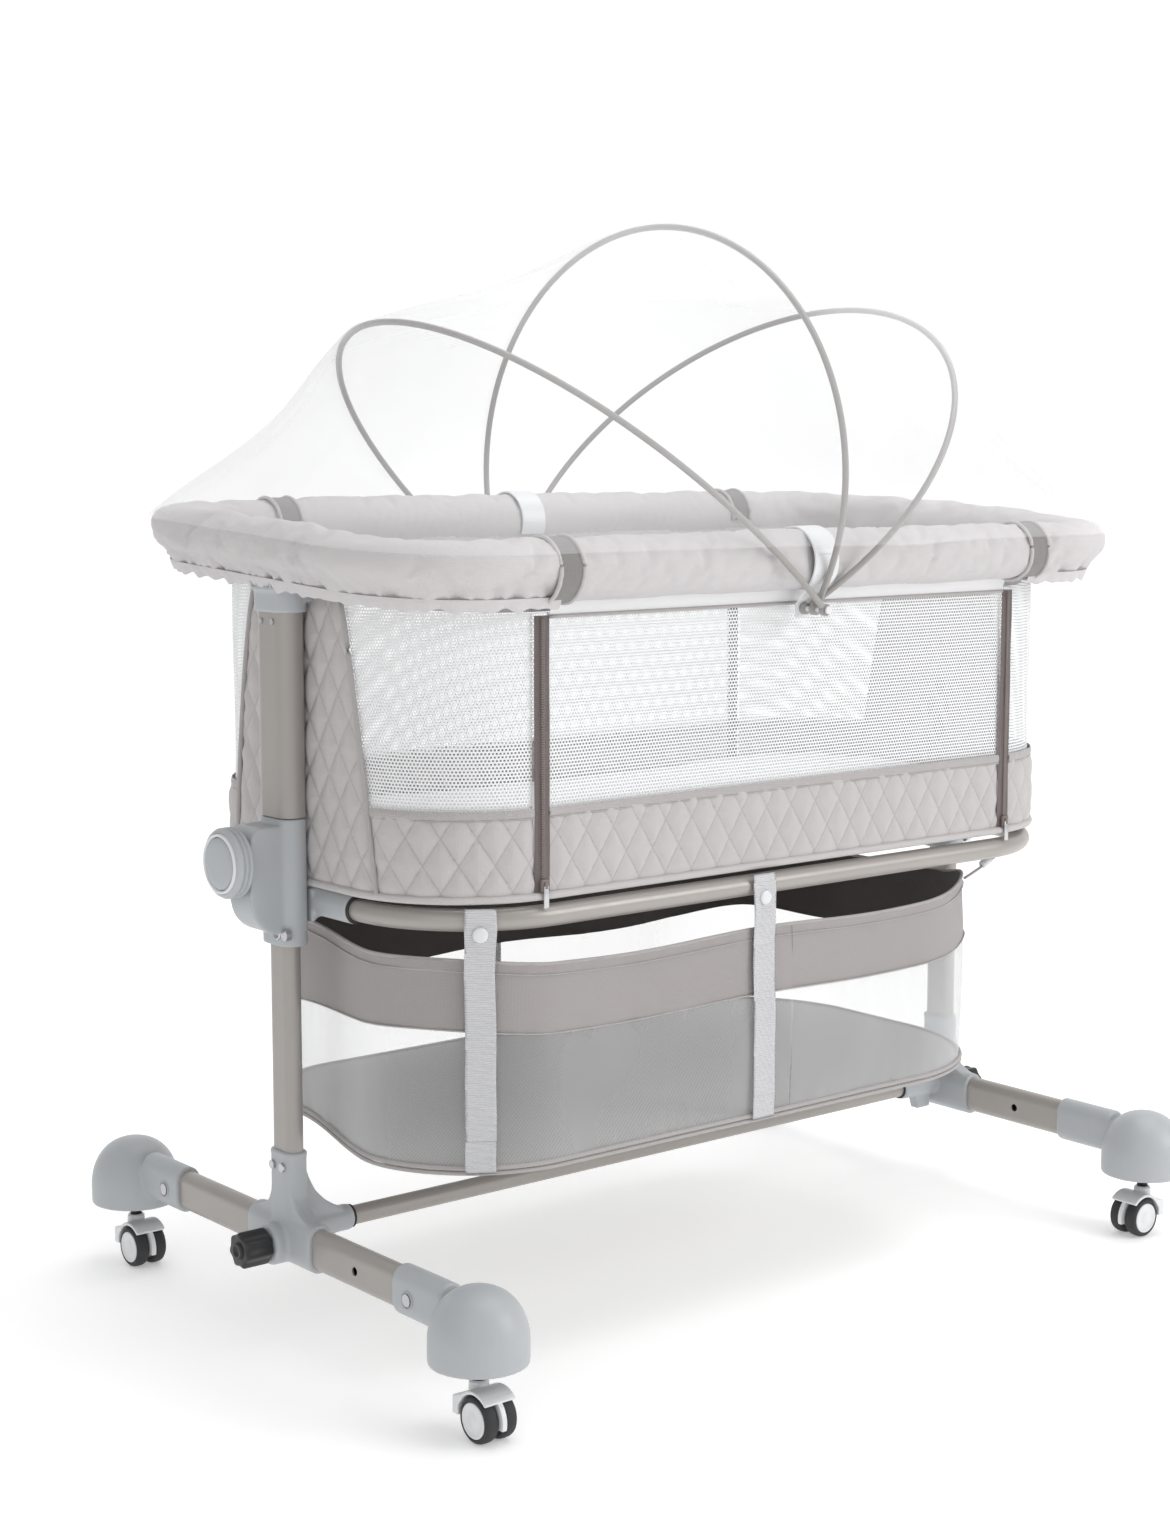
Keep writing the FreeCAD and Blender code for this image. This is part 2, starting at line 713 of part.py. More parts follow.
for side_name, side in SIDES.items():
    knob = new_body("height_knob_" + side_name)
    sketch = new_sketch(knob, "XZ_Plane", 0, knob_z, 0)
    rim = knob_radius
    outline = [(lobe_x + 1, 0), (lobe_x + 1, rim - 8), (lobe_x + 4, rim - 8),
               (lobe_x + 4, rim), (lobe_x + 8, rim), (lobe_x + 9, rim - 1.5),
               (lobe_x + 11, rim - 1.5), (lobe_x + 12, rim), (knob_x - 5, rim),
               (knob_x - 3, rim - 2), (knob_x - 3, rim - 5), (knob_x - 1, rim - 6),
               (knob_x, rim - 8), (knob_x, 0)]
    draw_polygon(sketch, [(u * side, v) for u, v in outline])
    turned = knob.newObject("PartDesign::Revolution", knob.Name + "_turned")
    turned.Profile = sketch
    turned.ReferenceAxis = (sketch, ["H_Axis"])
    turned.Angle = 360
    pin = rod("X", span(side, post_x + lower_post_wide / 2 + size("lock_pin_gap"),
                        lobe_x + 3), lock_pin_radius, z=knob_z)
    name_node("height_knob_" + side_name, fuse(knob, pin))


# Rounded rectangles in plan, and tubes that follow them.

def rounded_path(left, right, half_width, corner, start=0, stop=8):
    """Edges of a rounded rectangle, counted from the middle of its front side.

    The eight stretches are: front right half, corner, right end, corner, back,
    corner, left end, corner, and the front left half closes the ring.
    """
    r = corner
    slant = r * math.sqrt(0.5)
    corners = [(right - r, -half_width + r, 1, -1), (right - r, half_width - r, 1, 1),
               (left + r, half_width - r, -1, 1), (left + r, -half_width + r, -1, -1)]
    edges = []
    here = Vector(0, -half_width, 0)
    for number, (cx, cy, sx, sy) in enumerate(corners):
        first = Vector(cx, cy + sy * r, 0) if number % 2 == 0 else Vector(cx + sx * r, cy, 0)
        last = Vector(cx + sx * r, cy, 0) if number % 2 == 0 else Vector(cx, cy + sy * r, 0)
        middle = Vector(cx + sx * slant, cy + sy * slant, 0)
        edges.append(Part.LineSegment(here, first).toShape())
        edges.append(Part.Arc(first, middle, last).toShape())
        here = last
    edges.append(Part.LineSegment(here, Vector(0, -half_width, 0)).toShape())
    return edges[start:stop + 1]


def rounded_prism(left, right, half_width, corner, bottom, top):
    wire = Part.Wire(rounded_path(left, right, half_width, corner))
    wire.translate(Vector(0, 0, bottom))
    return Part.Face(wire).extrude(Vector(0, 0, top - bottom))


def swept_tube(edges, radius, bore=0):
    """A round bar or tube that follows a chain of plan edges."""
    path = Part.Wire(edges)
    start = edges[0].valueAt(edges[0].FirstParameter)
    tangent = edges[0].tangentAt(edges[0].FirstParameter)

    def sweep(section_radius):
        ring = Part.Wire(Part.Circle(start, tangent, section_radius).toShape())
        return path.makePipeShell([ring], True, False)

    outer = sweep(radius)
    return outer.cut(sweep(bore)) if bore else outer


def block(x, y, z):
    return Part.makeBox(x[1] - x[0], y[1] - y[0], z[1] - z[0], Vector(x[0], y[0], z[0]))


def plain(alias):
    return size(alias).number


# Rail: two bent end tubes, straight bars that plug into them and the padded cover.

rail_place = Placement(Vector(0, 0, rail_z.number),
                       Rotation(Vector(1, 0, 0), plain("rail_tilt")))
rail_length = rail_half_length.number
rail_width = plain("rail_half_width")
rail_corner = plain("rail_corner")
roll_radius = plain("roll_radius")
rail_tube = rail_tube_radius.number
tube_end_x = plain("rail_tube_end")
wall = tube_wall.number


def rail_end(side):
    """A U-shaped tube round one end of the rail."""
    ring = rounded_path(-rail_length, rail_length, rail_width, rail_corner)
    bends = ring[1:4] if side > 0 else ring[5:8]
    start = Vector(tube_end_x * side, -rail_width * side, 0)
    stop = Vector(tube_end_x * side, rail_width * side, 0)
    first = bends[0].valueAt(bends[0].FirstParameter)
    last = bends[2].valueAt(bends[2].LastParameter)
    edges = [Part.LineSegment(start, first).toShape()] + bends
    edges.append(Part.LineSegment(last, stop).toShape())
    return swept_tube(edges, rail_tube, rail_tube - wall)


for side_name, side in SIDES.items():
    shape_node("rail_end_tube_" + side_name, rail_end(side), rail_place)

bar_end = plain("rail_bar_end")
bars = []
for end in ENDS.values():
    bars.append(Part.makeCylinder(rail_tube - wall - fit_gap.number, 2 * bar_end,
                                  Vector(-bar_end, rail_width * end, 0), Vector(1, 0, 0)))
shape_node("rail_bars", Part.makeCompound(bars), rail_place)

rail_ring = rounded_path(-rail_length, rail_length, rail_width, rail_corner)
roll = swept_tube(rail_ring, roll_radius).cut(swept_tube(rail_ring, rail_tube + 0.5))
roll.Placement = rail_place
for side in SIDES.values():
    low, high = sorted(((rail_length - 10) * side, (rail_length + 10) * side))
    roll = roll.cut(block((low, high), (-11, 11), (bracket_bottom_z.number, rail_z.number)))
shape_node("rail_cover", roll)


# Basket walls: front and back panels, wrap-round end walls and the zips between them.

wall_length = plain("wall_half_length")
wall_width = plain("wall_half_width")
wall_corner = plain("wall_corner")
wall_thickness = plain("wall_thickness")
wall_bottom = plain("wall_bottom_z")
zip_x = plain("zip_x")
zip_half = plain("zip_width") / 2
top_plane = block((-600, 600), (-400, 400), (-400, -plain("wall_top_drop")))
top_plane.Placement = rail_place
inner_length = wall_length - wall_thickness
inner_width = wall_width - wall_thickness
walls = rounded_prism(-wall_length, wall_length, wall_width, wall_corner, wall_bottom, 760)
walls = walls.cut(rounded_prism(-inner_length, inner_length, inner_width,
                                wall_corner - wall_thickness, wall_bottom - 10, 770))
walls = walls.common(top_plane)
panel_half = zip_x - zip_half
for end_name, end in ENDS.items():
    low, high = sorted((0, 300 * end))
    shape_node(end_name + "_panel",
               walls.common(block((-panel_half, panel_half), (low, high), (0, 800))))
for side_name, side in SIDES.items():
    low, high = sorted(((panel_half + 2 * zip_half) * side, 600 * side))
    end_wall = walls.common(block((low, high), (-300, 300), (0, 800)))
    low, high = sorted(((wall_length - 30) * side, (wall_length + 10) * side))
    notch_bottom = bolt_z.number - ear_radius - 2
    end_wall = end_wall.cut(block((low, high), (-45, 45), (notch_bottom, 800)))
    shape_node("end_wall_" + side_name, end_wall)

tape_face = wall_width + 0.3
tape_front = tape_face + 1.5
wall_top_front = rail_z.number - plain("wall_top_drop") - 14
tapes = []
for side in SIDES.values():
    for end in ENDS.values():
        low, high = sorted((tape_face * end, tape_front * end))
        tapes.append(block((zip_x * side - zip_half, zip_x * side + zip_half), (low, high),
                           (wall_bottom, wall_top_front)))
shape_node("zip_tapes", Part.makeCompound(tapes))

for side_name, side in SIDES.items():
    centre = as_size(zip_x * side)
    face = -as_size(tape_front) - 0.3
    slider = box((centre - 4, centre + 4), (face - 4, face),
                 (size("wall_bottom_z") + 6, size("wall_bottom_z") + 20))
    puller = box((centre - 3, centre + 3), (face - 6, face - 4),
                 (size("wall_bottom_z") - 8, size("wall_bottom_z") + 18))
    name_node("zip_slider_" + side_name, fuse(slider, puller))


# Lower ring, its brackets, the deck board and the mattress.

ring_z = size("ring_z")
ring_tube_radius = size("ring_tube_radius")
ring_sleeve_radius = size("ring_sleeve_radius")
sleeve_reach = size("ring_sleeve_reach")
ring_length = size("ring_half_length")
ring_width = size("ring_half_width")
socket_depth = 25


def ring_half(end):
    """The front or back half of the ring, from one bracket round to the other."""
    x, y = ring_length.number, ring_width.number
    r = plain("ring_corner")
    inset = r * (1 - math.sqrt(0.5))
    foot = sleeve_reach.number - socket_depth
    spots = [Vector(-x, foot * end, 0), Vector(-x, (y - r) * end, 0),
             Vector(-x + inset, (y - inset) * end, 0), Vector(-x + r, y * end, 0),
             Vector(x - r, y * end, 0), Vector(x - inset, (y - inset) * end, 0),
             Vector(x, (y - r) * end, 0), Vector(x, foot * end, 0)]
    edges = [Part.LineSegment(spots[0], spots[1]).toShape(),
             Part.Arc(spots[1], spots[2], spots[3]).toShape(),
             Part.LineSegment(spots[3], spots[4]).toShape(),
             Part.Arc(spots[4], spots[5], spots[6]).toShape(),
             Part.LineSegment(spots[6], spots[7]).toShape()]
    return swept_tube(edges, ring_tube_radius.number, ring_tube_radius.number - wall)


for end_name, end in ENDS.items():
    shape_node("ring_tube_" + end_name, ring_half(end), Placement(
        Vector(0, 0, ring_z.number), Rotation()))

for side_name, side in SIDES.items():
    x = ring_length * side
    sleeve = rod("Y", (-sleeve_reach, sleeve_reach), ring_sleeve_radius, x=x, z=ring_z)
    pad_x = span(side, ring_length, post_x - upper_post_wide / 2)
    foot = box(pad_x, (-20, 20), (ring_z - 20, ring_z + 12))
    bores = []
    for end in ENDS.values():
        low, high = span(end, sleeve_reach - socket_depth - fit_gap, sleeve_reach + 10)
        bores.append(rod("Y", (low, high), ring_tube_radius + fit_gap, x=x, z=ring_z))
    name_node("ring_bracket_" + side_name, cut(fuse(sleeve, foot), *bores))

deck_bottom = ring_z + ring_sleeve_radius + 0.4
deck_top = deck_bottom + size("deck_thickness")
deck_length = size("wall_half_length") - size("wall_thickness") - 1
deck_width = size("wall_half_width") - size("wall_thickness") - 1
deck_corner = size("wall_corner") - size("wall_thickness")
margin = size("mattress_margin")
name_node("deck_board", plate("deck_board", (-deck_length, deck_length),
                              (-deck_width, deck_width), (deck_bottom, deck_top),
                              deck_corner))
name_node("mattress", plate("mattress", (-deck_length + margin, deck_length - margin),
                            (-deck_width + margin, deck_width - margin),
                            (deck_top + 0.3, deck_top + 0.3 + size("mattress_thickness")),
                            deck_corner - margin))


# Net hoops on their pins, the clips that carry them and the net itself.

pivot_z = plain("pivot_z")
wire_radius = plain("wire_radius")
eye_radius = plain("eye_radius")
eye_width = plain("eye_width")
pin_radius = plain("hoop_pin_radius")
# Each hoop is part of an ellipse: how far it leans, where its eyes sit across the
# bassinet, the ellipse's centre above the pivot and its half height.
HOOPS = {
    "left": {"lean": -50.7, "eye_y": 245.5, "centre": 70.5, "half_height": 339},
    "middle": {"lean": 0, "eye_y": 232.5, "centre": 121, "half_height": 238},
    "right": {"lean": 41.8, "eye_y": 219.5, "centre": 144.8, "half_height": 241},
}


def hoop_half_width(hoop):
    return hoop["eye_y"] / math.sqrt(1 - (hoop["centre"] / hoop["half_height"]) ** 2)


def hoop_place(hoop):
    """Takes the upright hoop, pivoting about the origin's Y axis, to where it stands."""
    return Placement(Vector(0, 0, pivot_z), Rotation(Vector(0, 1, 0), hoop["lean"]))


def hoop_shape(hoop):
    """The bent wire and the two eyes pressed on its ends."""
    half_width = hoop_half_width(hoop)
    drop = math.asin(hoop["centre"] / hoop["half_height"])
    pace = math.hypot(half_width * math.sin(drop), hoop["half_height"] * math.cos(drop))
    drop -= (eye_radius + 0.5) / pace
    centre = Vector(0, 0, hoop["centre"])
    if hoop["half_height"] > half_width:
        ellipse = Part.Ellipse(centre + Vector(0, 0, hoop["half_height"]),
                               centre + Vector(0, half_width, 0), centre)
        arc = Part.ArcOfEllipse(ellipse, -math.pi / 2 - drop, math.pi / 2 + drop)
    else:
        ellipse = Part.Ellipse(centre + Vector(0, half_width, 0),
                               centre + Vector(0, 0, hoop["half_height"]), centre)
        arc = Part.ArcOfEllipse(ellipse, -drop, math.pi + drop)
    edge = arc.toShape()
    start = edge.valueAt(edge.FirstParameter)
    ring = Part.Wire(Part.Circle(start, edge.tangentAt(edge.FirstParameter),
                                 wire_radius).toShape())
    pieces = [Part.Wire([edge]).makePipeShell([ring], True, False)]
    for end in ENDS.values():
        foot = Vector(0, hoop["eye_y"] * end - eye_width / 2, 0)
        eye = Part.makeCylinder(eye_radius, eye_width, foot, Vector(0, 1, 0))
        hole = Part.makeCylinder(pin_radius + pin_gap.number, eye_width, foot,
                                 Vector(0, 1, 0))
        pieces.append(eye.cut(hole))
    return Part.makeCompound(pieces)


for hoop_name, hoop in HOOPS.items():
    shape_node("hoop_" + hoop_name, hoop_shape(hoop), hoop_place(hoop))


def net_clip(end):
    """A hook round the padded roll, with a lug and the hoops' pin below it."""
    tilt = math.radians(plain("rail_tilt"))
    y = rail_width * math.cos(tilt) * end
    z = rail_z.number + rail_width * math.sin(tilt) * end
    ring = Part.makeCylinder(roll_radius + 3, 30, Vector(-15, y, z), Vector(1, 0, 0))
    ring = ring.cut(Part.makeCylinder(roll_radius + 0.4, 30, Vector(-15, y, z),
                                      Vector(1, 0, 0)))
    open_low, open_high = sorted(((rail_width - 4) * end, 300 * end))
    ring = ring.cut(block((-20, 20), (open_low, open_high), (z - 60, z - 5)))
    lug_low, lug_high = sorted((210 * end, 213.5 * end))
    lug = block((-8, 8), (lug_low, lug_high), (pivot_z - 8, z - roll_radius - 0.4))
    pin_low, pin_high = sorted((211 * end, 250 * end))
    pin = Part.makeCylinder(pin_radius, pin_high - pin_low, Vector(0, pin_low, pivot_z),
                            Vector(0, 1, 0))
    return ring.fuse(lug).fuse(pin)


shape_node("net_clips", Part.makeCompound([net_clip(end) for end in ENDS.values()]))

NET_STEPS = 24


def hem_z(y):
    """Height of the net's hem, above the rail's tilted plane."""
    slope = math.tan(math.radians(plain("rail_tilt")))
    return rail_z.number + y * slope + plain("net_hem_rise")


def hoop_feet(hoop):
    """How far up the hoop's plane the net starts, at the front and at the back."""
    lean = math.cos(math.radians(hoop["lean"]))
    reach = hoop_half_width(hoop)
    return [(hem_z(reach * end) - pivot_z) / lean for end in ENDS.values()]


def hoop_line(hoop):
    """Spots along a hoop just outside the wire, from its front foot over to its back."""
    offset = plain("net_offset")
    half_width = hoop_half_width(hoop) + offset
    half_height = hoop["half_height"] + offset
    first, last = [math.asin((foot - hoop["centre"]) / half_height)
                   for foot in hoop_feet(hoop)]
    spots = []
    for step in range(NET_STEPS + 1):
        angle = first + (math.pi - last - first) * step / NET_STEPS
        upright = Vector(0, -half_width * math.cos(angle),
                         hoop["centre"] + half_height * math.sin(angle))
        spots.append(hoop_place(hoop).multVec(upright))
    return spots


def rail_line(side, hoop):
    """Spots along the hem, outside the padded roll, round one end of the rail. The hem
    stands further out beside the hoops, which bow out past the roll."""
    reach = roll_radius + plain("net_hem_reach")
    feet = hoop_feet(hoop)
    foot_x = sum(feet) / len(feet) * abs(math.sin(math.radians(hoop["lean"])))
    bow = hoop_half_width(hoop) + plain("net_offset") - rail_width - reach
    ring = Part.Wire(rounded_path(-rail_length - reach, rail_length + reach,
                                  rail_width + reach, rail_corner + reach))
    half = ring.common(block((foot_x, 600), (-400, 400), (-1, 1)))
    half = Part.Wire(Part.__sortEdges__(half.Edges))
    spots = half.discretize(NET_STEPS + 1)
    if spots[0].y > 0:
        spots.reverse()
    hem = []
    for spot in spots:
        push = bow * math.exp(-((spot.x - foot_x) / 90) ** 2)
        y = spot.y + math.copysign(push, spot.y)
        hem.append(Vector(spot.x * side, y, hem_z(y)))
    return hem


def between(first_line, second_line):
    return [(first + second) * 0.5 for first, second in zip(first_line, second_line)]


def thin_sheet(lines, core, thickness):
    """A closed smooth sheet of even thickness whose inner face passes through the lines."""
    outer_lines = [[spot + (spot - core).normalize() * thickness for spot in line]
                   for line in lines]
    surfaces = []
    for rows in (lines, outer_lines):
        surface = Part.BSplineSurface()
        surface.interpolate(rows)
        surfaces.append(surface)
    inner, outer = surfaces
    u_low, u_high, v_low, v_high = inner.bounds()
    outer_u_low, outer_u_high, outer_v_low, outer_v_high = outer.bounds()
    pairs = ((inner.uIso(u_low), outer.uIso(outer_u_low)),
             (inner.uIso(u_high), outer.uIso(outer_u_high)),
             (inner.vIso(v_low), outer.vIso(outer_v_low)),
             (inner.vIso(v_high), outer.vIso(outer_v_high)))
    faces = [inner.toShape(), outer.toShape()]
    faces += [Part.makeRuledSurface(low.toShape(), high.toShape()) for low, high in pairs]
    shell = Part.makeShell(faces)
    shell.sewShape()
    solid = Part.makeSolid(Part.Shell(shell.Faces))
    if solid.Volume < 0:
        solid.reverse()
    return solid


def net_shape(side, hoop):
    """The net from the end of the rail over the leaning hoop to the middle one."""
    middle = [spot + Vector(side, 0, 0) for spot in hoop_line(HOOPS["middle"])]
    hem, leaning = rail_line(side, hoop), hoop_line(hoop)
    lines = [hem, between(hem, leaning), leaning, between(leaning, middle), middle]
    return thin_sheet(lines, Vector(0, 0, rail_z.number - 60), plain("net_thickness"))


for side_name, side in SIDES.items():
    shape_node("net_" + side_name, net_shape(side, HOOPS[side_name]))


# Storage basket: stiff floor, soft wall and the straps that hang it from the ring.

storage_left = plain("storage_left_x")
storage_right = plain("storage_right_x")
storage_width = plain("storage_half_width")
storage_bottom = plain("storage_bottom_z")
storage_top = plain("storage_top_z")
skin = plain("storage_wall_thickness")


def storage_prism(inset, bottom, top):
    """The storage basket's plan, with rounder corners on the right than on the left."""
    left_corner = plain("storage_left_corner") - inset
    right_corner = plain("storage_right_corner") - inset
    left, right = storage_left + inset, storage_right - inset
    half_width = storage_width - inset
    left_path = rounded_path(left, right, half_width, left_corner)
    right_path = rounded_path(left, right, half_width, right_corner)
    front = Part.LineSegment(Vector(left + left_corner, -half_width, 0),
                             Vector(right - right_corner, -half_width, 0)).toShape()
    back = Part.LineSegment(Vector(right - right_corner, half_width, 0),
                            Vector(left + left_corner, half_width, 0)).toShape()
    wire = Part.Wire([front] + right_path[1:4] + [back] + left_path[5:8])
    wire.translate(Vector(0, 0, bottom))
    return Part.Face(wire).extrude(Vector(0, 0, top - bottom))


shape_node("storage_wall", storage_prism(0, storage_bottom, storage_top).cut(
    storage_prism(skin, storage_bottom - 5, storage_top + 5)))
shape_node("storage_floor", storage_prism(
    skin + 0.5, storage_bottom, storage_bottom + plain("storage_floor_thickness")))

strap_half = plain("strap_width") / 2
strap_skin = plain("strap_thickness")


def strap(x, y, turn, gap):
    """One strap: a flat run up the basket's side and a loop over the ring tube."""
    bore = ring_tube_radius.number + gap
    loop = Part.makeCylinder(bore + strap_skin, 2 * strap_half, Vector(-strap_half, 0, 0),
                             Vector(1, 0, 0))
    loop = loop.cut(Part.makeCylinder(bore, 2 * strap_half, Vector(-strap_half, 0, 0),
                                      Vector(1, 0, 0)))
    drop = ring_z.number - storage_bottom
    run = block((-strap_half, strap_half), (-bore - strap_skin, -bore), (-drop, 0))
    snap = Part.makeCylinder(6, 1.5, Vector(0, -bore - strap_skin, -16), Vector(0, -1, 0))
    shape = loop.fuse(run).fuse(snap)
    shape.Placement = Placement(Vector(x, y, ring_z.number),
                                Rotation(Vector(0, 0, 1), turn))
    return shape


strap_middle_x = -40
TIE_RADIUS = 1.5
# The tie meets the ring's corner at a slant, so it ends this many tube radii short.
TIE_SLANT = 1.65
TOGGLE_RADIUS = 4
TOGGLE_LENGTH = 12
# How far along the tie the toggle sits.
TOGGLE_PLACE = 0.45


def corner_tie(end):
    """An elastic cord from the basket's right-hand corner up to the ring, with a toggle."""
    corner = plain("storage_right_corner") / math.sqrt(2)
    ring_corner = plain("ring_corner") / math.sqrt(2)
    rim = Vector(storage_right - plain("storage_right_corner") + corner + 3,
                 (storage_width - plain("storage_right_corner") + corner + 3) * end,
                 storage_top + TIE_RADIUS + 2)
    hook = Vector(ring_length.number - plain("ring_corner") + ring_corner,
                  (ring_width.number - plain("ring_corner") + ring_corner) * end,
                  ring_z.number)
    run = hook - rim
    length = run.Length - TIE_SLANT * ring_tube_radius.number
    cord = Part.makeCylinder(TIE_RADIUS, length, rim, run)
    toggle = Part.makeCylinder(TOGGLE_RADIUS, TOGGLE_LENGTH, rim + run * TOGGLE_PLACE, run)
    return cord.fuse(toggle)


corner_centre_x = -ring_length.number + plain("ring_corner")
corner_centre_y = ring_width.number - plain("ring_corner")
corner_turn = 33
straps = []
for end in ENDS.values():
    facing = 0 if end < 0 else 180
    swing = math.radians(corner_turn)
    reach = plain("ring_corner")
    straps.append(strap(corner_centre_x - reach * math.sin(swing),
                        (corner_centre_y + reach * math.cos(swing)) * end,
                        facing + corner_turn * end, gap=1.4))
    straps.append(strap(strap_middle_x, ring_width.number * end, facing, gap=0.3))
    straps.append(corner_tie(end))
shape_node("storage_straps", Part.makeCompound(straps))


# Check every object, then write one file per sub-part.

doc.recompute()
for item in doc.Objects:
    for word in ("Invalid", "Error"):
        if word in item.State:
            raise RuntimeError("%s is %s" % (item.Label, word))
for label, item in nodes.items():
    if item.Shape.isNull() or not item.Shape.isValid() or not item.Shape.Solids:
        raise RuntimeError("%s has no valid solid" % label)

os.makedirs("parts", exist_ok=True)
for label, item in nodes.items():
    item.Shape.exportStep("parts/%s.step" % label)
print("%d sub-parts written" % len(nodes))
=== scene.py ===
import json
import math

import bmesh
import bpy
from mathutils import Matrix, Vector, noise


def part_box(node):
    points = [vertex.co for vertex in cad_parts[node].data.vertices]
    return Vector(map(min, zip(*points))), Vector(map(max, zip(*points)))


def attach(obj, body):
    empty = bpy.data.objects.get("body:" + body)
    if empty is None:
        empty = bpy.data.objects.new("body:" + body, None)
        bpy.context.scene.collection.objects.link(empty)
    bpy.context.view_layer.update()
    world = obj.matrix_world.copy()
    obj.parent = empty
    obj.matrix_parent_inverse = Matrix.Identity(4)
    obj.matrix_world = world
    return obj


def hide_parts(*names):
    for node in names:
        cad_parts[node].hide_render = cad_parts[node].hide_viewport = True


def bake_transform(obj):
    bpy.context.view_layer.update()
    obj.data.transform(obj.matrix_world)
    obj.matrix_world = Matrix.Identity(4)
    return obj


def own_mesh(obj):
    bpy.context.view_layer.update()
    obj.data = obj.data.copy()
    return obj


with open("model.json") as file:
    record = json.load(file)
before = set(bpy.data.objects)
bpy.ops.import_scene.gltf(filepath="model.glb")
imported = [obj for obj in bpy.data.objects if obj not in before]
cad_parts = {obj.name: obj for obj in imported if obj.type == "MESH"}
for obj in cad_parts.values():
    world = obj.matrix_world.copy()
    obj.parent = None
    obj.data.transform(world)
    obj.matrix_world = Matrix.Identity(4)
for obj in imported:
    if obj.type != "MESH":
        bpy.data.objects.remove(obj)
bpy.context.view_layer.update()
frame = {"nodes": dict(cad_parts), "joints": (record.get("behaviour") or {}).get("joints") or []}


# ---- View and light -------------------------------------------------------------------
# A bright floor that runs up into the backdrop, a large soft light overhead, a key from the
# front right, a weaker fill, and the camera standing off the front left corner.

def principled(name, color, roughness, **sockets):
    """A new material, its shader, and its node tree. Extra sockets are set directly."""
    material = bpy.data.materials.new(name)
    material.use_nodes = True
    shader = material.node_tree.nodes["Principled BSDF"]
    shader.inputs["Base Color"].default_value = (*color, 1)
    shader.inputs["Roughness"].default_value = roughness
    for socket, value in sockets.items():
        shader.inputs[socket.replace("_", " ")].default_value = value
    return material, shader, material.node_tree


floor_size = 14.0
backdrop_rise = 6.0
backdrop_y = 4.5
floor_mesh = bmesh.new()
front = [floor_mesh.verts.new((x, -floor_size / 2, 0)) for x in (-floor_size / 2, floor_size / 2)]
edge = floor_mesh.edges.new(front)
for step in ((0, floor_size / 2 + backdrop_y - 1.2, 0), (0, 0.85, 0.35), (0, 0.35, 0.85),
             (0, 0, backdrop_rise)):
    grown = bmesh.ops.extrude_edge_only(floor_mesh, edges=[edge])["geom"]
    moved = [item for item in grown if isinstance(item, bmesh.types.BMVert)]
    bmesh.ops.translate(floor_mesh, vec=step, verts=moved)
    edge = [item for item in grown if isinstance(item, bmesh.types.BMEdge)
            and all(vert in moved for vert in item.verts)][0]
bmesh.ops.rotate(floor_mesh, cent=(0, 0, 0), matrix=Matrix.Rotation(math.radians(-39), 3, "Z"),
                 verts=floor_mesh.verts)
floor_data = bpy.data.meshes.new("floor")
floor_mesh.to_mesh(floor_data)
floor_mesh.free()
floor = bpy.data.objects.new("floor", floor_data)
bpy.context.scene.collection.objects.link(floor)
floor_paint, floor_shader, _ = principled("floor_paint", (0.90, 0.90, 0.90), 0.8)
floor_shader.inputs["Emission Color"].default_value = (1, 1, 1, 1)
floor_shader.inputs["Emission Strength"].default_value = 0.28
floor_data.materials.append(floor_paint)

world = bpy.data.worlds.new("studio")
world.use_nodes = True
world.node_tree.nodes["Background"].inputs["Color"].default_value = (1, 1, 1, 1)
world.node_tree.nodes["Background"].inputs["Strength"].default_value = 0.55
bpy.context.scene.world = world
bpy.context.scene.view_settings.view_transform = "Standard"


def soft_light(name, power, size, location, target=(0, 0, 0.5)):
    lamp = bpy.data.lights.new(name, "AREA")
    lamp.energy = power
    lamp.size = size
    holder = bpy.data.objects.new(name, lamp)
    holder.location = location
    aim = Vector(target) - Vector(location)
    holder.rotation_euler = aim.to_track_quat("-Z", "Y").to_euler()
    bpy.context.scene.collection.objects.link(holder)


soft_light("overhead", 46, 2.6, (0.6, -0.2, 3.2))
soft_light("key", 44, 1.8, (1.9, -2.9, 1.8))
soft_light("left_fill", 10, 2.0, (-2.8, -1.8, 1.6))

camera_data = bpy.data.cameras.new("camera")
camera_data.lens = 58.85
camera = bpy.data.objects.new("camera", camera_data)
camera.location = (-1.615, -1.888, 0.818)
camera_aim = Vector((0.6247, 0.7701, -0.1291))
camera.rotation_euler = camera_aim.to_track_quat("-Z", "Y").to_euler()
bpy.context.scene.collection.objects.link(camera)
bpy.context.scene.camera = camera


# ---- Steel tubes ----------------------------------------------------------------------
# Foot tubes, posts, crossbar and the ring under the basket: bent steel tube with a warm
# grey powder coat, faintly orange-peeled, a little duller where hands rub it.

def node_after(tree, kind, **inputs):
    """A new node whose inputs are either values or other nodes' outputs."""
    node = tree.nodes.new(kind)
    for name, value in inputs.items():
        socket = node.inputs[int(name[1:])] if name[0] == "i" and name[1:].isdigit() \
            else node.inputs[name.replace("_", " ")]
        if isinstance(value, bpy.types.NodeSocket):
            tree.links.new(value, socket)
        else:
            socket.default_value = value
    return node


def math_step(tree, operation, first, second=0.0, third=None):
    node = tree.nodes.new("ShaderNodeMath")
    node.operation = operation
    for index, value in enumerate((first, second, third)):
        if value is None:
            continue
        if isinstance(value, bpy.types.NodeSocket):
            tree.links.new(value, node.inputs[index])
        else:
            node.inputs[index].default_value = value
    return node.outputs[0]


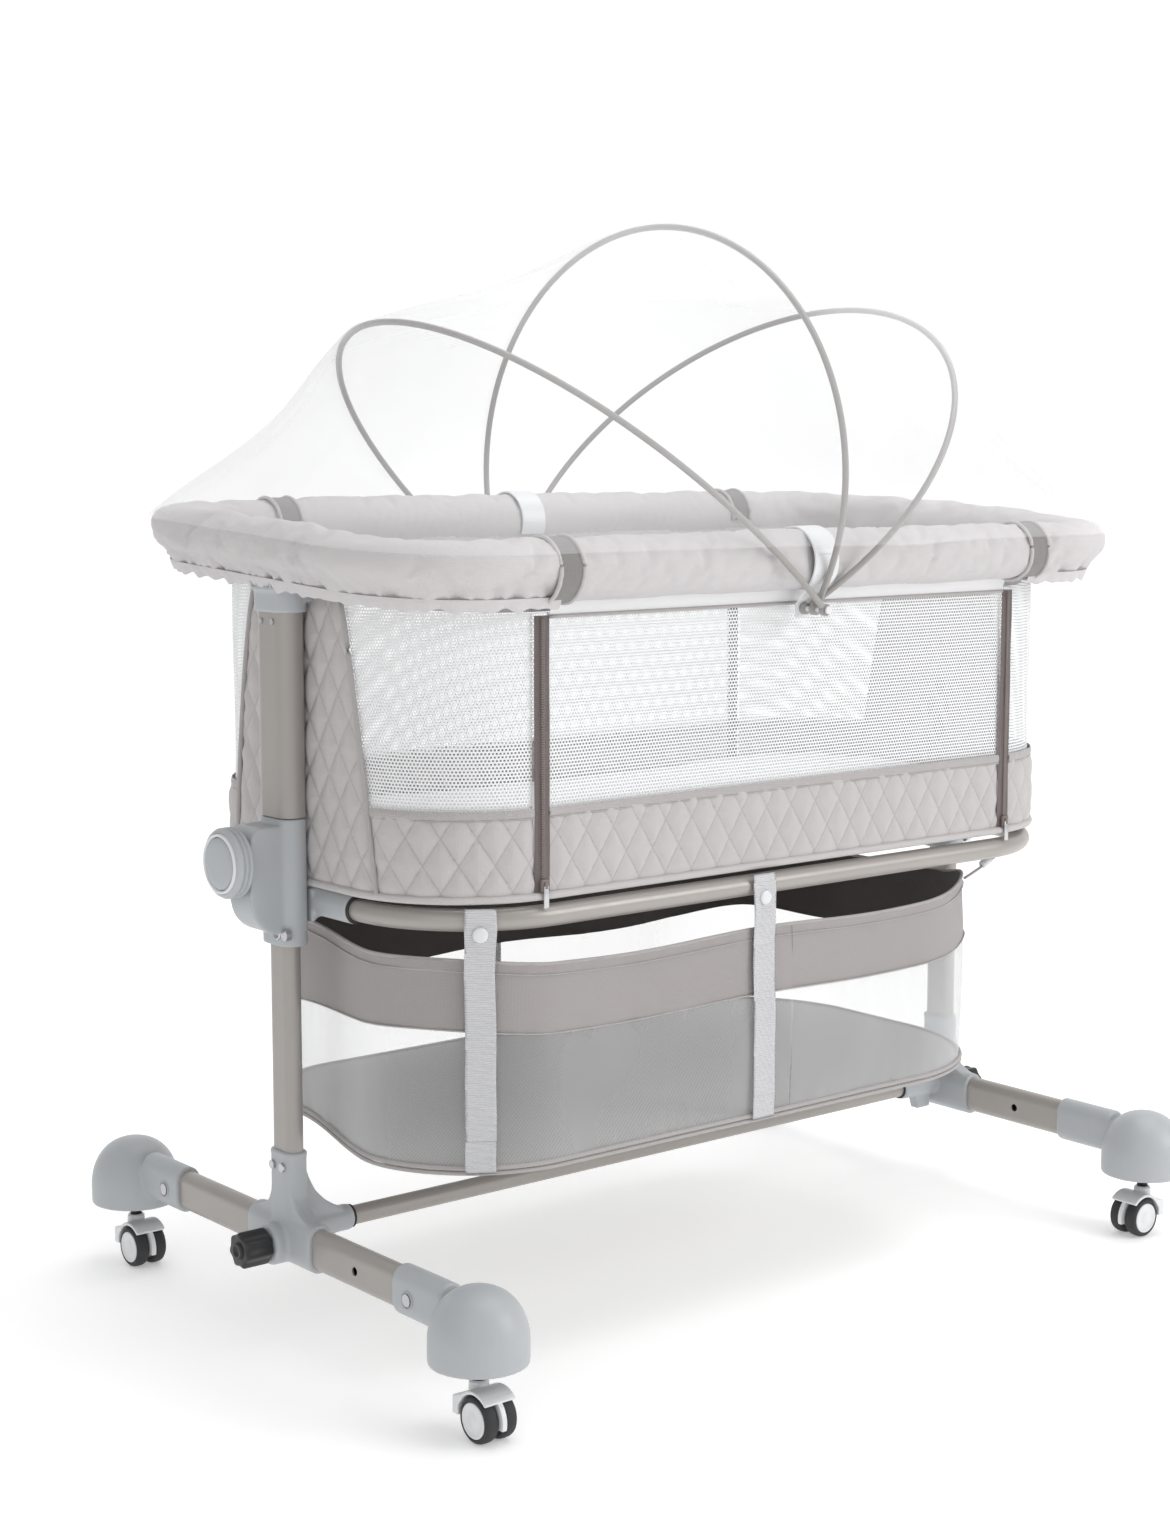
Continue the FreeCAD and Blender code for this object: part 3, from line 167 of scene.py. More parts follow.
def new_group(name, inputs, outputs):
    """A shader node group with named sockets, and its two end nodes."""
    group = bpy.data.node_groups.new(name, "ShaderNodeTree")
    for label, kind, value in inputs:
        socket = group.interface.new_socket(label, in_out="INPUT", socket_type=kind)
        if value is not None:
            socket.default_value = value
    for label, kind in outputs:
        group.interface.new_socket(label, in_out="OUTPUT", socket_type=kind)
    return group, group.nodes.new("NodeGroupInput"), group.nodes.new("NodeGroupOutput")


def place_group(tree, group, **values):
    node = tree.nodes.new("ShaderNodeGroup")
    node.node_tree = group
    for name, value in values.items():
        socket = node.inputs[name.replace("_", " ")]
        if isinstance(value, bpy.types.NodeSocket):
            tree.links.new(value, socket)
        else:
            socket.default_value = value
    return node


FLOAT, COLOR = "NodeSocketFloat", "NodeSocketColor"
moulded_skin, skin_in, skin_out = new_group(
    "moulded_skin",
    [("Color", COLOR, (0.6, 0.6, 0.6, 1)), ("Mottle", FLOAT, 0.05), ("Grain", FLOAT, 900.0),
     ("Base Roughness", FLOAT, 0.45)],
    [("Color", COLOR), ("Roughness", FLOAT), ("Height", FLOAT)])
skin_place = moulded_skin.nodes.new("ShaderNodeTexCoord").outputs["Object"]
skin_cloud = node_after(moulded_skin, "ShaderNodeTexNoise", Vector=skin_place, Scale=11.0,
                        Detail=3.0)
skin_grain = node_after(moulded_skin, "ShaderNodeTexNoise", Vector=skin_place,
                        Scale=skin_in.outputs["Grain"], Detail=2.0)
skin_rub = node_after(moulded_skin, "ShaderNodeTexNoise", Vector=skin_place, Scale=60.0,
                      Detail=6.0)
skin_offset = math_step(moulded_skin, "SUBTRACT", skin_cloud.outputs["Fac"], 0.5)
skin_value = math_step(moulded_skin, "MULTIPLY_ADD", skin_offset, skin_in.outputs["Mottle"], 1.0)
skin_tint = node_after(moulded_skin, "ShaderNodeHueSaturation",
                       Color=skin_in.outputs["Color"], Value=skin_value)
skin_wear = math_step(moulded_skin, "SUBTRACT", skin_rub.outputs["Fac"], 0.5)
skin_rough = math_step(moulded_skin, "MULTIPLY_ADD", skin_wear, 0.18,
                       skin_in.outputs["Base Roughness"])
moulded_skin.links.new(skin_tint.outputs["Color"], skin_out.inputs["Color"])
moulded_skin.links.new(skin_rough, skin_out.inputs["Roughness"])
moulded_skin.links.new(skin_grain.outputs["Fac"], skin_out.inputs["Height"])


def bump_into(tree, shader, height, distance, strength=1.0):
    bump = node_after(tree, "ShaderNodeBump", Strength=strength, Distance=distance,
                      Height=height)
    tree.links.new(bump.outputs["Normal"], shader.inputs["Normal"])


def skinned(name, color, roughness, mottle, grain, depth, **sockets):
    """A hard moulded or coated finish with mottling, rubbed patches and fine grain."""
    material, shader, tree = principled(name, color, roughness, **sockets)
    skin = place_group(tree, moulded_skin, Color=(*color, 1), Mottle=mottle, Grain=grain,
                       Base_Roughness=roughness)
    tree.links.new(skin.outputs["Color"], shader.inputs["Base Color"])
    tree.links.new(skin.outputs["Roughness"], shader.inputs["Roughness"])
    bump_into(tree, shader, skin.outputs["Height"], depth)
    return material


tube_coat = skinned("tube_coat", (0.37, 0.345, 0.325), 0.36, 0.10, 1400.0, 0.00003,
                    Metallic=0.25, Coat_Weight=0.15, Coat_Roughness=0.25)


def repaint(material, *node_names):
    """A CAD piece keeps its shape and takes a finished material."""
    for node_name in node_names:
        mesh = frame["nodes"][node_name].data
        mesh.materials.clear()
        mesh.materials.append(material)
        for polygon in mesh.polygons:
            polygon.material_index = 0


SIDES = {"left": -1, "right": 1}
ENDS = {"front": -1, "back": 1}
repaint(tube_coat, "crossbar", "ring_tube_front", "ring_tube_back", "rail_end_tube_left",
        "rail_end_tube_right", "rail_bars",
        *["%s_%s" % (kind, side) for kind in ("foot_tube", "lower_post", "upper_post")
          for side in SIDES])


# ---- Screws and rivets ----------------------------------------------------------------
# Small plated steel heads, brushed round by the tool that drove them.

screw_steel = skinned("screw_steel", (0.55, 0.55, 0.56), 0.3, 0.1, 700.0, 0.00002,
                      Metallic=1.0)
repaint(screw_steel, "frame_screws", "cap_screws_left", "cap_screws_right",
        "upper_fasteners")


# ---- Foot caps ------------------------------------------------------------------------
# Helmet-shaped end caps in cool grey plastic. Each is one moulding: a dome over the
# caster, flowing into a flat-oval collar that grips the foot tube.

grey_plastic = skinned("grey_plastic", (0.43, 0.45, 0.465), 0.42, 0.05, 1100.0, 0.00003,
                       Coat_Weight=0.05)


def new_piece(name, bm, material, body, replaced=(), smooth=True):
    """The bmesh becomes a piece at the origin that rides on a body."""
    data = bpy.data.meshes.new(name)
    bm.to_mesh(data)
    bm.free()
    if smooth:
        data.shade_smooth()
    for finish in material if isinstance(material, (list, tuple)) else [material]:
        data.materials.append(finish)
    piece = bpy.data.objects.new(name, data)
    bpy.context.scene.collection.objects.link(piece)
    if body:
        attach(piece, body)
    if replaced:
        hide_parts(*replaced)
    return piece


def middle_of(node_name):
    low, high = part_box(node_name)
    return (low + high) / 2


def extruded(bm, face, step):
    """A flat face becomes a solid."""
    grown = bmesh.ops.extrude_face_region(bm, geom=[face], use_keep_orig=True)["geom"]
    moved = [item for item in grown if isinstance(item, bmesh.types.BMVert)]
    bmesh.ops.translate(bm, vec=step, verts=moved)
    bmesh.ops.recalc_face_normals(bm, faces=bm.faces)


def bevelled(bm, edges, offset, segments=2):
    bmesh.ops.bevel(bm, geom=edges, offset=offset, segments=segments, profile=0.5,
                    affect="EDGES", material=-1)


def level_edges(bm):
    """The edges whose two ends are at one height."""
    return [edge for edge in bm.edges if len({round(v.co.z, 6) for v in edge.verts}) == 1]


def soft_box(bm, centre, size, offset):
    """A box with rounded edges."""
    made = bmesh.ops.create_cube(bm, size=1, matrix=Matrix.Translation(centre)
                                 @ Matrix.Diagonal((*size, 1)))
    bevelled(bm, list({edge for vert in made["verts"] for edge in vert.link_edges}), offset)


def poured_into(target, bm):
    """Adds one bmesh to another and frees it."""
    data = bpy.data.meshes.new("poured")
    bm.to_mesh(data)
    bm.free()
    target.from_mesh(data)


def modified(bm, *modifiers):
    """The bmesh after a chain of modifiers, each a kind and its settings."""
    data = bpy.data.meshes.new("worked")
    bm.to_mesh(data)
    bm.free()
    worked = bpy.data.objects.new("worked", data)
    bpy.context.scene.collection.objects.link(worked)
    for kind, settings in modifiers:
        modifier = worked.modifiers.new(kind.lower(), kind)
        for name, value in settings.items():
            setattr(modifier, name, value)
    graph = bpy.context.evaluated_depsgraph_get()
    result = bmesh.new()
    result.from_object(worked, graph)
    bpy.data.objects.remove(worked)
    bpy.data.meshes.remove(data)
    return result


def melt(bm, voxel, rounds, factor=0.5):
    """Shapes that overlap become one moulding with softly filled inner corners."""
    return modified(bm, ("REMESH", {"mode": "VOXEL", "voxel_size": voxel}),
                    ("SMOOTH", {"factor": factor, "iterations": rounds}))


def lathe(bm, profile, centre, axis, steps=48):
    """Spins (distance along the axis, radius) points round the axis."""
    axis = Vector(axis).normalized()
    centre = Vector(centre)
    across = axis.orthogonal().normalized()
    verts = [bm.verts.new(centre + axis * along + across * radius)
             for along, radius in profile]
    edges = [bm.edges.new(pair) for pair in zip(verts, verts[1:])]
    bmesh.ops.spin(bm, geom=verts + edges, cent=centre, axis=axis, angle=2 * math.pi,
                   steps=steps, use_merge=True)
    bmesh.ops.remove_doubles(bm, verts=bm.verts, dist=1e-6)
    bmesh.ops.recalc_face_normals(bm, faces=bm.faces)


def oval_prism(bm, axis, low, high, along, across, centre, upright, rings=12):
    """A flat-oval bar from low to high on an axis. Its long side lies along upright."""
    axis, upright, centre = Vector(axis), Vector(upright), Vector(centre)
    side = axis.cross(upright)
    radius = across / 2
    reach = along / 2 - radius
    verts = []
    for half, sign in ((0, 1), (1, -1)):
        for step in range(rings + 1):
            angle = math.pi * step / rings
            verts.append(bm.verts.new(
                centre + axis * low + upright * sign * (reach + radius * math.sin(angle))
                + side * sign * radius * math.cos(angle)))
    face = bm.faces.new(verts)
    extruded(bm, face, axis * (high - low))


foot_tube_z = middle_of("foot_tube_left").z
post_x = middle_of("foot_tube_right").x
cap_low, cap_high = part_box("foot_cap_right_front")
cap_bottom, cap_height = cap_low.z, cap_high.z
cap_radius = cap_high.x - post_x
caster_y = -cap_low.y - cap_radius


def foot_cap(side_name, side, end_name, end):
    bm = bmesh.new()
    shoulder = cap_bottom + 0.019
    wall = 0.0035
    centre = (post_x * side, caster_y * end, 0)
    steps = [(cap_bottom, cap_radius - wall), (cap_bottom, cap_radius - 0.0005),
             (cap_bottom + 0.003, cap_radius)]
    for inset, order in ((0, range(13)), (wall, range(12, -1, -1))):
        for step in order:
            angle = math.pi / 2 * step / 12
            steps.append((shoulder + (cap_height - shoulder - inset) * math.sin(angle),
                          (cap_radius - inset) * math.cos(angle) ** 0.86))
    steps.append(steps[0])
    lathe(bm, steps, centre, (0, 0, 1), 40)
    low, high = sorted(((caster_y - 0.106) * end, (caster_y - cap_radius + 0.006) * end))
    oval_prism(bm, (0, 1, 0), low, high, 0.045, 0.027, (post_x * side, 0, foot_tube_z),
               (0, 0, 1))
    lathe(bm, [(cap_bottom + 0.004, 0), (cap_bottom + 0.004, 0.009),
               (cap_height - 0.006, 0.010), (cap_height - 0.006, 0)], centre, (0, 0, 1), 20)
    cap = melt(bm, 0.0016, 5)
    name = "cap_moulding_%s_%s" % (side_name, end_name)
    new_piece(name, cap, grey_plastic, "foot_" + side_name,
              ["foot_cap_%s_%s" % (side_name, end_name)])
    rim = bmesh.new()
    rim_x = (post_x + 0.0138) * side
    lathe(rim, [(-0.0008, 0.0066), (0.0006, 0.0068), (0.0012, 0.0074), (0.0006, 0.0082),
                (-0.0008, 0.0085)], (rim_x, (caster_y - 0.083) * end, foot_tube_z - 0.002),
          (side, 0, 0), 32)
    new_piece("cap_screw_rim_%s_%s" % (side_name, end_name), rim, grey_plastic,
              "foot_" + side_name)


for side_name, side in SIDES.items():
    for end_name, end in ENDS.items():
        foot_cap(side_name, side, end_name, end)


# ---- Casters --------------------------------------------------------------------------
# Twin-wheel casters: black soft tyres with rounded treads on pale discs, under a white
# hood that swivels on a dark steel stem.

tyre_rubber = skinned("tyre_rubber", (0.028, 0.028, 0.03), 0.62, 0.35, 1600.0, 0.00005)
pale_plastic = skinned("pale_plastic", (0.76, 0.77, 0.78), 0.35, 0.04, 900.0, 0.00002,
                       Coat_Weight=0.2)
dark_steel = skinned("dark_steel", (0.16, 0.155, 0.15), 0.34, 0.15, 700.0, 0.00002,
                     Metallic=0.9)
wheel_radius = 0.02
# How far each axle sits behind its stem.
axle_trail = 0.013


def turned(point, heading, stem):
    return Matrix.Rotation(math.radians(heading), 3, "Z") @ Vector(point) + stem


def caster(label, side, end, heading, caster_body, wheels_body):
    stem = Vector((post_x * side, caster_y * end, 0))
    axle = turned((0, -axle_trail, wheel_radius), heading, stem)
    along = turned((1, 0, 0), heading, Vector())
    tyres, discs = bmesh.new(), bmesh.new()
    for way in (-1, 1):
        tread = [(0.0030, 0.0140), (0.0030, 0.0175), (0.0042, 0.0191), (0.0062, 0.0198),
                 (0.0095, 0.0200), (0.0128, 0.0198), (0.0148, 0.0191), (0.0160, 0.0177),
                 (0.0160, 0.0158), (0.0152, 0.0153), (0.0152, 0.0140), (0.0030, 0.0140)]
        lathe(tyres, [(u * way, v) for u, v in tread], axle, along, 64)
        disc = [(0.0036, 0), (0.0036, 0.0139), (0.0158, 0.0152), (0.0164, 0.0148),
                (0.0164, 0.0134), (0.0157, 0.0126), (0.0157, 0.0060), (0.0163, 0.0050),
                (0.0163, 0)]
        lathe(discs, [(u * way, v) for u, v in disc], axle, along, 64)
    new_piece("tyres_" + label, tyres, tyre_rubber, wheels_body,
              ["caster_wheels_" + label])
    new_piece("wheel_discs_" + label, discs, pale_plastic, wheels_body)
    hood = bmesh.new()
    shell, inner = [(0.0165, 0.0185), (0.0165, 0.034)], [(0.0085, 0.0185), (0.0085, 0.027)]
    for step in range(5, 14):
        angle = math.radians(-8 + 11 * step)
        for line, radius in ((shell, 0.0248), (inner, 0.0216)):
            line.append((-axle_trail + radius * math.cos(angle),
                         wheel_radius + radius * math.sin(angle)))
    outline = shell + inner[::-1]
    verts = [hood.verts.new((-0.0158, y, z)) for y, z in outline]
    face = hood.faces.new(verts)
    extruded(hood, face, (0.0316, 0, 0))
    bevelled(hood, hood.edges[:], 0.0011)
    web = bmesh.new()
    lathe(web, [(-0.0022, 0), (-0.0022, 0.0226), (0.0022, 0.0226), (0.0022, 0)],
          (0, -axle_trail, wheel_radius), (1, 0, 0), 40)
    bmesh.ops.bisect_plane(web, geom=web.verts[:] + web.edges[:] + web.faces[:],
                           plane_co=(0, 0, wheel_radius - 0.006), plane_no=(0, 0, -1),
                           clear_outer=True)
    bmesh.ops.holes_fill(web, edges=web.edges[:])
    lathe(web, [(0.0405, 0), (0.0405, 0.0088), (0.0475, 0.0084), (0.0490, 0.0070),
                (0.0490, 0)], (0, 0, 0), (0, 0, 1), 32)
    soft_box(web, (0, 0.0169, 0.0262), (0.014, 0.0022, 0.0070), 0.0007)
    poured_into(hood, web)
    for vert in hood.verts:
        vert.co = turned(vert.co, heading, stem)
    bmesh.ops.recalc_face_normals(hood, faces=hood.faces)
    new_piece("hood_" + label, hood, pale_plastic, caster_body,
              ["caster_fork_" + label], smooth=False)
    pin = bmesh.new()
    lathe(pin, [(0.0475, 0), (0.0475, 0.0055), (0.066, 0.0055), (0.0665, 0.0052),
                (0.090, 0.0052), (0.0915, 0.004), (0.0915, 0)], stem, (0, 0, 1), 32)
    new_piece("stem_" + label, pin, dark_steel, caster_body)


for side_name, side in SIDES.items():
    for end_name, end in ENDS.items():
        label = "%s_%s" % (side_name, end_name)
        axle = [joint for joint in frame["joints"] if joint["name"] == "wheel_spin_" + label][0]
        heading = math.degrees(math.atan2(axle["axis"][1], axle["axis"][0]))
        caster(label, side, end, heading, "caster_" + label, "wheels_" + label)


# ---- Foot connectors, crossbar ends and star knobs --------------------------------------
# Each connector is one grey moulding: a sleeve on the foot tube, a socket for the post,
# webs that flow between them, and a boss that takes the crossbar.

connector_low, connector_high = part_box("foot_connector_right")
sleeve_reach = connector_high.y
crossbar_z = middle_of("crossbar").z
crossbar_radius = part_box("crossbar")[1].z - crossbar_z
boss_x = connector_low.x


def slab(bm, plane_axis, low, high, outline):
    """A flat plate between two coordinates on one axis. The outline lies across it."""
    def spot(depth, u, v):
        return (u, depth, v) if plane_axis == "Y" else (depth, u, v)
    face = bm.faces.new([bm.verts.new(spot(low, u, v)) for u, v in outline])
    extruded(bm, face, (0, high - low, 0) if plane_axis == "Y" else (high - low, 0, 0))


def swept_web(start, stop, bow, steps=10):
    """A line from start to stop that sags towards the corner between them."""
    spots = []
    for step in range(steps + 1):
        t = step / steps
        u = start[0] + (stop[0] - start[0]) * t
        v = start[1] + (stop[1] - start[1]) * t
        dip = bow * math.sin(math.pi * t)
        spots.append((u - dip * math.copysign(0.7, stop[0] - start[0]), v - dip * 0.7))
    return spots


for side_name, side in SIDES.items():
    body = bmesh.new()
    x = post_x * side
    oval_prism(body, (0, 1, 0), -sleeve_reach, sleeve_reach, 0.0455, 0.0275,
               (x, 0, foot_tube_z), (0, 0, 1))
    oval_prism(body, (0, 0, 1), foot_tube_z, connector_high.z, 0.0395, 0.0235, (x, 0, 0),
               (0, 1, 0))
    oval_prism(body, (0, 0, 1), connector_high.z - 0.004, connector_high.z, 0.0408, 0.0248,
               (x, 0, 0), (0, 1, 0))
    for end in (-1, 1):
        curve = swept_web((0.016 * end, connector_high.z - 0.018),
                          ((sleeve_reach - 0.008) * end, foot_tube_z + 0.021), 0.012)
        slab(body, "X", x - 0.0085, x + 0.0085,
             [(0, foot_tube_z), (0, connector_high.z - 0.018)] + curve
             + [((sleeve_reach - 0.008) * end, foot_tube_z)])
        lathe(body, [(0, 0), (0, 0.0148), (0.004, 0.0148), (0.004, 0)],
              (x, (sleeve_reach - 0.004) * end, foot_tube_z), (0, end, 0), 4)
    inner = boss_x + 0.012
    curve = swept_web((0.011 + post_x - 0.022, connector_high.z - 0.008),
                      (inner, crossbar_z + 0.012), 0.010)
    outline = [(post_x, crossbar_z), (post_x, connector_high.z - 0.008)] + curve \
        + [(inner, crossbar_z)]
    slab(body, "Y", -0.008, 0.008, [(u * side, v) for u, v in outline])
    lathe(body, [(0, 0), (0, 0.0122), (post_x - boss_x - 0.004, 0.0122),
                 (post_x - boss_x, 0.0112), (post_x - boss_x, 0)],
          (x, 0, crossbar_z), (-side, 0, 0), 32)
    lathe(body, [(0, 0), (0, 0.0195), (0.022, 0.0195), (0.0255, 0.0175), (0.0255, 0)],
          (x, 0, foot_tube_z - 0.003), (side, 0, 0), 32)
    slab(body, "Y", -0.006, 0.006, [((post_x - 0.02) * side, crossbar_z - 0.008),
                                    ((post_x - 0.045) * side, crossbar_z - 0.010),
                                    ((post_x - 0.040) * side, crossbar_z - 0.026),
                                    ((post_x - 0.02) * side, crossbar_z - 0.026)])
    connector = melt(body, 0.0016, 7)
    new_piece("connector_moulding_" + side_name, connector, grey_plastic, "stand",
              ["foot_connector_" + side_name])
    seal = bmesh.new()
    lathe(seal, [(0, crossbar_radius), (0, 0.0109), (0.0012, 0.0109),
                 (0.0012, crossbar_radius)], (boss_x * side, 0, crossbar_z), (-side, 0, 0), 32)
    new_piece("crossbar_seal_" + side_name, seal, tyre_rubber, "stand")


# Star knobs: fluted black grips on clamp screws, moulded with a small boss in the middle.

black_plastic = skinned("black_plastic", (0.018, 0.018, 0.02), 0.4, 0.3, 1300.0, 0.00006)
star_inner_x = 0.457
star_z = foot_tube_z - 0.003
star_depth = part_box("star_knob_right")[1].x - star_inner_x
for side_name, side in SIDES.items():
    star = bmesh.new()
    made = bmesh.ops.create_circle(star, cap_ends=True, segments=112, radius=0.0168)
    for vert in made["verts"]:
        angle = math.atan2(vert.co.y, vert.co.x)
        vert.co *= 1 - 0.13 * abs(math.sin(3.5 * angle)) ** 1.6
    star.faces.ensure_lookup_table()
    extruded(star, star.faces[0], (0, 0, star_depth - 0.002))
    bevelled(star, level_edges(star), 0.0025, 3)
    lathe(star, [(star_depth - 0.004, 0), (star_depth - 0.004, 0.0082), (star_depth, 0.0078),
                 (star_depth, 0.0048), (star_depth - 0.0015, 0.0042), (star_depth - 0.0015, 0)],
          (0, 0, 0), (0, 0, 1), 32)
    lathe(star, [(-0.014, 0), (-0.014, 0.003), (0.002, 0.003), (0.002, 0)], (0, 0, 0),
          (0, 0, 1), 20)
    turn = Matrix.Rotation(math.radians(90 * side), 3, "Y")
    for vert in star.verts:
        vert.co = turn @ vert.co + Vector((star_inner_x * side, 0, star_z))
    new_piece("star_grip_" + side_name, star, black_plastic, "star_knob_" + side_name,
              ["star_knob_" + side_name])


# ---- Height housings, knobs and post brackets -------------------------------------------
# The housing is the moulded foot of the upper post, with an outboard swelling behind the
# height knob. The knob is a ringed grip with a smooth face and a near-white ring.

housing_low, housing_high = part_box("height_housing_right")
housing_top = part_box("upper_post_right")[0].z
lobe_x = housing_high.x
knob_low, knob_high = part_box("height_knob_right")
knob_radius = knob_high.y
knob_z = (knob_low.z + knob_high.z) / 2
ring_white = skinned("ring_white", (0.72, 0.73, 0.74), 0.35, 0.03, 900.0, 0.00001,
                     Coat_Weight=0.2)
for side_name, side in SIDES.items():
    x = post_x * side
    body = bmesh.new()
    oval_prism(body, (0, 0, 1), housing_low.z, housing_top - 0.0006, 0.0500, 0.0282,
               (x, 0, 0), (0, 1, 0), rings=16)
    outline = [(post_x - 0.004, housing_top - 0.006)]
    for step in range(9):
        angle = math.radians(80 - 80 * step / 8)
        outline.append((lobe_x - 0.014 + 0.014 * math.cos(angle),
                        housing_top - 0.020 + 0.014 * math.sin(angle)))
    for step in range(13):
        angle = math.radians(-90 * step / 12)
        outline.append((lobe_x - 0.030 + 0.030 * math.cos(angle),
                        housing_low.z + 0.045 + 0.032 * math.sin(angle)))
    outline.append((post_x - 0.004, housing_low.z + 0.008))
    slab(body, "Y", -0.0185, 0.0185, [(u * side, v) for u, v in outline])
    shell = melt(body, 0.0015, 7)
    new_piece("housing_moulding_" + side_name, shell, grey_plastic, "bassinet",
              ["height_housing_" + side_name])

    grip = bmesh.new()
    back = lobe_x + 0.001
    face = knob_high.x
    rim = knob_radius
    outline = [(back, 0), (back, rim - 0.009), (back + 0.003, rim - 0.008),
               (back + 0.0032, rim - 0.001), (back + 0.0042, rim), (back + 0.0062, rim),
               (back + 0.0070, rim - 0.0016), (back + 0.0078, rim - 0.0016),
               (back + 0.0086, rim), (back + 0.0106, rim), (back + 0.0114, rim - 0.0016),
               (back + 0.0122, rim - 0.0016), (back + 0.0130, rim), (back + 0.0150, rim),
               (back + 0.0176, rim - 0.0014), (back + 0.0188, rim - 0.0034),
               (back + 0.0190, rim - 0.0044)]
    lathe(grip, outline, (0, 0, knob_z), (side, 0, 0), 96)
    new_piece("knob_grip_" + side_name, grip, grey_plastic, "height_knob_" + side_name,
              ["height_knob_" + side_name])
    ring = bmesh.new()
    lathe(ring, [(back + 0.0186, rim - 0.0046), (back + 0.0206, rim - 0.0050),
                 (back + 0.0212, rim - 0.0062), (back + 0.0206, rim - 0.0074),
                 (back + 0.0190, rim - 0.0078)], (0, 0, knob_z), (side, 0, 0), 96)
    new_piece("knob_ring_" + side_name, ring, ring_white, "height_knob_" + side_name)
    disc = bmesh.new()
    lathe(disc, [(back + 0.0180, rim - 0.0080), (back + 0.0202, rim - 0.0084),
                 (back + 0.0212, rim - 0.0100), (back + 0.0216, rim - 0.016),
                 (back + 0.0218, 0.006), (back + 0.0218, 0)], (0, 0, knob_z),
          (side, 0, 0), 96)
    lathe(disc, [(post_x + 0.0095, 0), (post_x + 0.0095, 0.0036), (post_x + 0.0105, 0.004),
                 (back + 0.002, 0.004)], (0, 0, knob_z), (side, 0, 0), 24)
    new_piece("knob_face_" + side_name, disc, grey_plastic, "height_knob_" + side_name)

    trim = bmesh.new()
    face_x = (post_x + 0.0141) * side
    lathe(trim, [(-0.002, 0), (-0.002, 0.0062), (0.0010, 0.0062), (0.0016, 0.0052),
                 (0.0016, 0.0046), (0.0002, 0.0042), (0.0002, 0)],
          (face_x, -0.0085, housing_low.z + 0.012), (side, 0, 0), 28)
    new_piece("housing_screw_" + side_name, trim, screw_steel, "bassinet")


bracket_low, bracket_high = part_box("post_bracket_right")
ear_x = bracket_low.x + 0.012
ear_z = bracket_low.z + 0.019
ring_z = middle_of("ring_tube_front").z
ring_x = middle_of("ring_bracket_right").x
for side_name, side in SIDES.items():
    x = post_x * side
    body = bmesh.new()
    oval_prism(body, (0, 0, 1), bracket_low.z, bracket_low.z + 0.0225, 0.0565, 0.0345,
               (x, 0, 0), (0, 1, 0), rings=16)
    oval_prism(body, (0, 0, 1), bracket_low.z + 0.0195, bracket_low.z + 0.0235, 0.060, 0.0385,
               (x, 0, 0), (0, 1, 0), rings=16)
    slab(body, "Y", -0.0268, -0.0112, [(u * side, v) for u, v in (
        (post_x - 0.004, ear_z - 0.0095), (ear_x, ear_z - 0.0095), (ear_x, ear_z + 0.0085),
        (post_x - 0.004, ear_z + 0.0045))])
    lathe(body, [(0, 0), (0, 0.0124), (0.0162, 0.0124), (0.0162, 0)],
          (ear_x * side, -0.0272, ear_z), (0, 1, 0), 40)
    slab(body, "Y", -0.0105, 0.0105, [(u * side, v) for u, v in (
        (post_x - 0.010, ear_z), (post_x + 0.012, ear_z), (post_x + 0.010, bracket_high.z - 0.001),
        (post_x - 0.006, bracket_high.z - 0.001))])
    shell = melt(body, 0.0014, 5)
    new_piece("bracket_moulding_" + side_name, shell, grey_plastic, "bassinet",
              ["post_bracket_" + side_name])
    ribs = bmesh.new()
    for step in range(4):
        rib_y = -0.0135 + 0.0105 * step
        slab(ribs, "Y", rib_y - 0.0012, rib_y + 0.0012, [(u * side, v) for u, v in (
            (post_x + 0.010, bracket_low.z + 0.0185), (post_x + 0.0176, bracket_low.z + 0.0185),
            (post_x + 0.0196, bracket_low.z + 0.0265), (post_x + 0.010, bracket_low.z + 0.0265))])
    new_piece("bracket_ribs_" + side_name, ribs, grey_plastic, "bassinet",
              smooth=False)
    bolt = bmesh.new()
    lathe(bolt, [(0, 0.0090), (0.0012, 0.0086), (0.0012, 0.0072), (-0.0006, 0.0068),
                 (-0.0006, 0)], (ear_x * side, -0.0272, ear_z), (0, -1, 0), 36)
    lathe(bolt, [(-0.001, 0), (-0.001, 0.0054), (0.0012, 0.0054), (0.0016, 0.0050),
                 (0.0016, 0.0027), (0.0002, 0.0025), (0.0002, 0)],
          (ear_x * side, -0.0272, ear_z), (0, -1, 0), 6)
    new_piece("ear_bolt_" + side_name, bolt, screw_steel, "bassinet",
              smooth=False)

    clasp = bmesh.new()
    lathe(clasp, [(-0.075, 0.0102), (-0.075, 0.0124), (-0.0735, 0.0134), (0.0735, 0.0134),
                  (0.075, 0.0124), (0.075, 0.0102), (-0.075, 0.0102)],
          (ring_x * side, 0, ring_z), (0, 1, 0), 40)
    slab(clasp, "Y", -0.022, 0.022, [(u * side, v) for u, v in (
        (ring_x + 0.002, ring_z - 0.012), (post_x - 0.0145, ring_z - 0.019),
        (post_x - 0.0145, ring_z + 0.013), (ring_x + 0.002, ring_z + 0.0125))])
    clasp = melt(clasp, 0.0013, 5)
    new_piece("ring_clasp_" + side_name, clasp, grey_plastic, "bassinet",
              ["ring_bracket_" + side_name])
    for end_name, end in ENDS.items():
        seam = bmesh.new()
        lathe(seam, [(0, 0.0100), (0, 0.0131), (0.0011, 0.0131), (0.0011, 0.0100)],
              (ring_x * side, 0.075 * end, ring_z), (0, end, 0), 40)
        new_piece("ring_seal_%s_%s" % (side_name, end_name), seam, tyre_rubber, "bassinet")


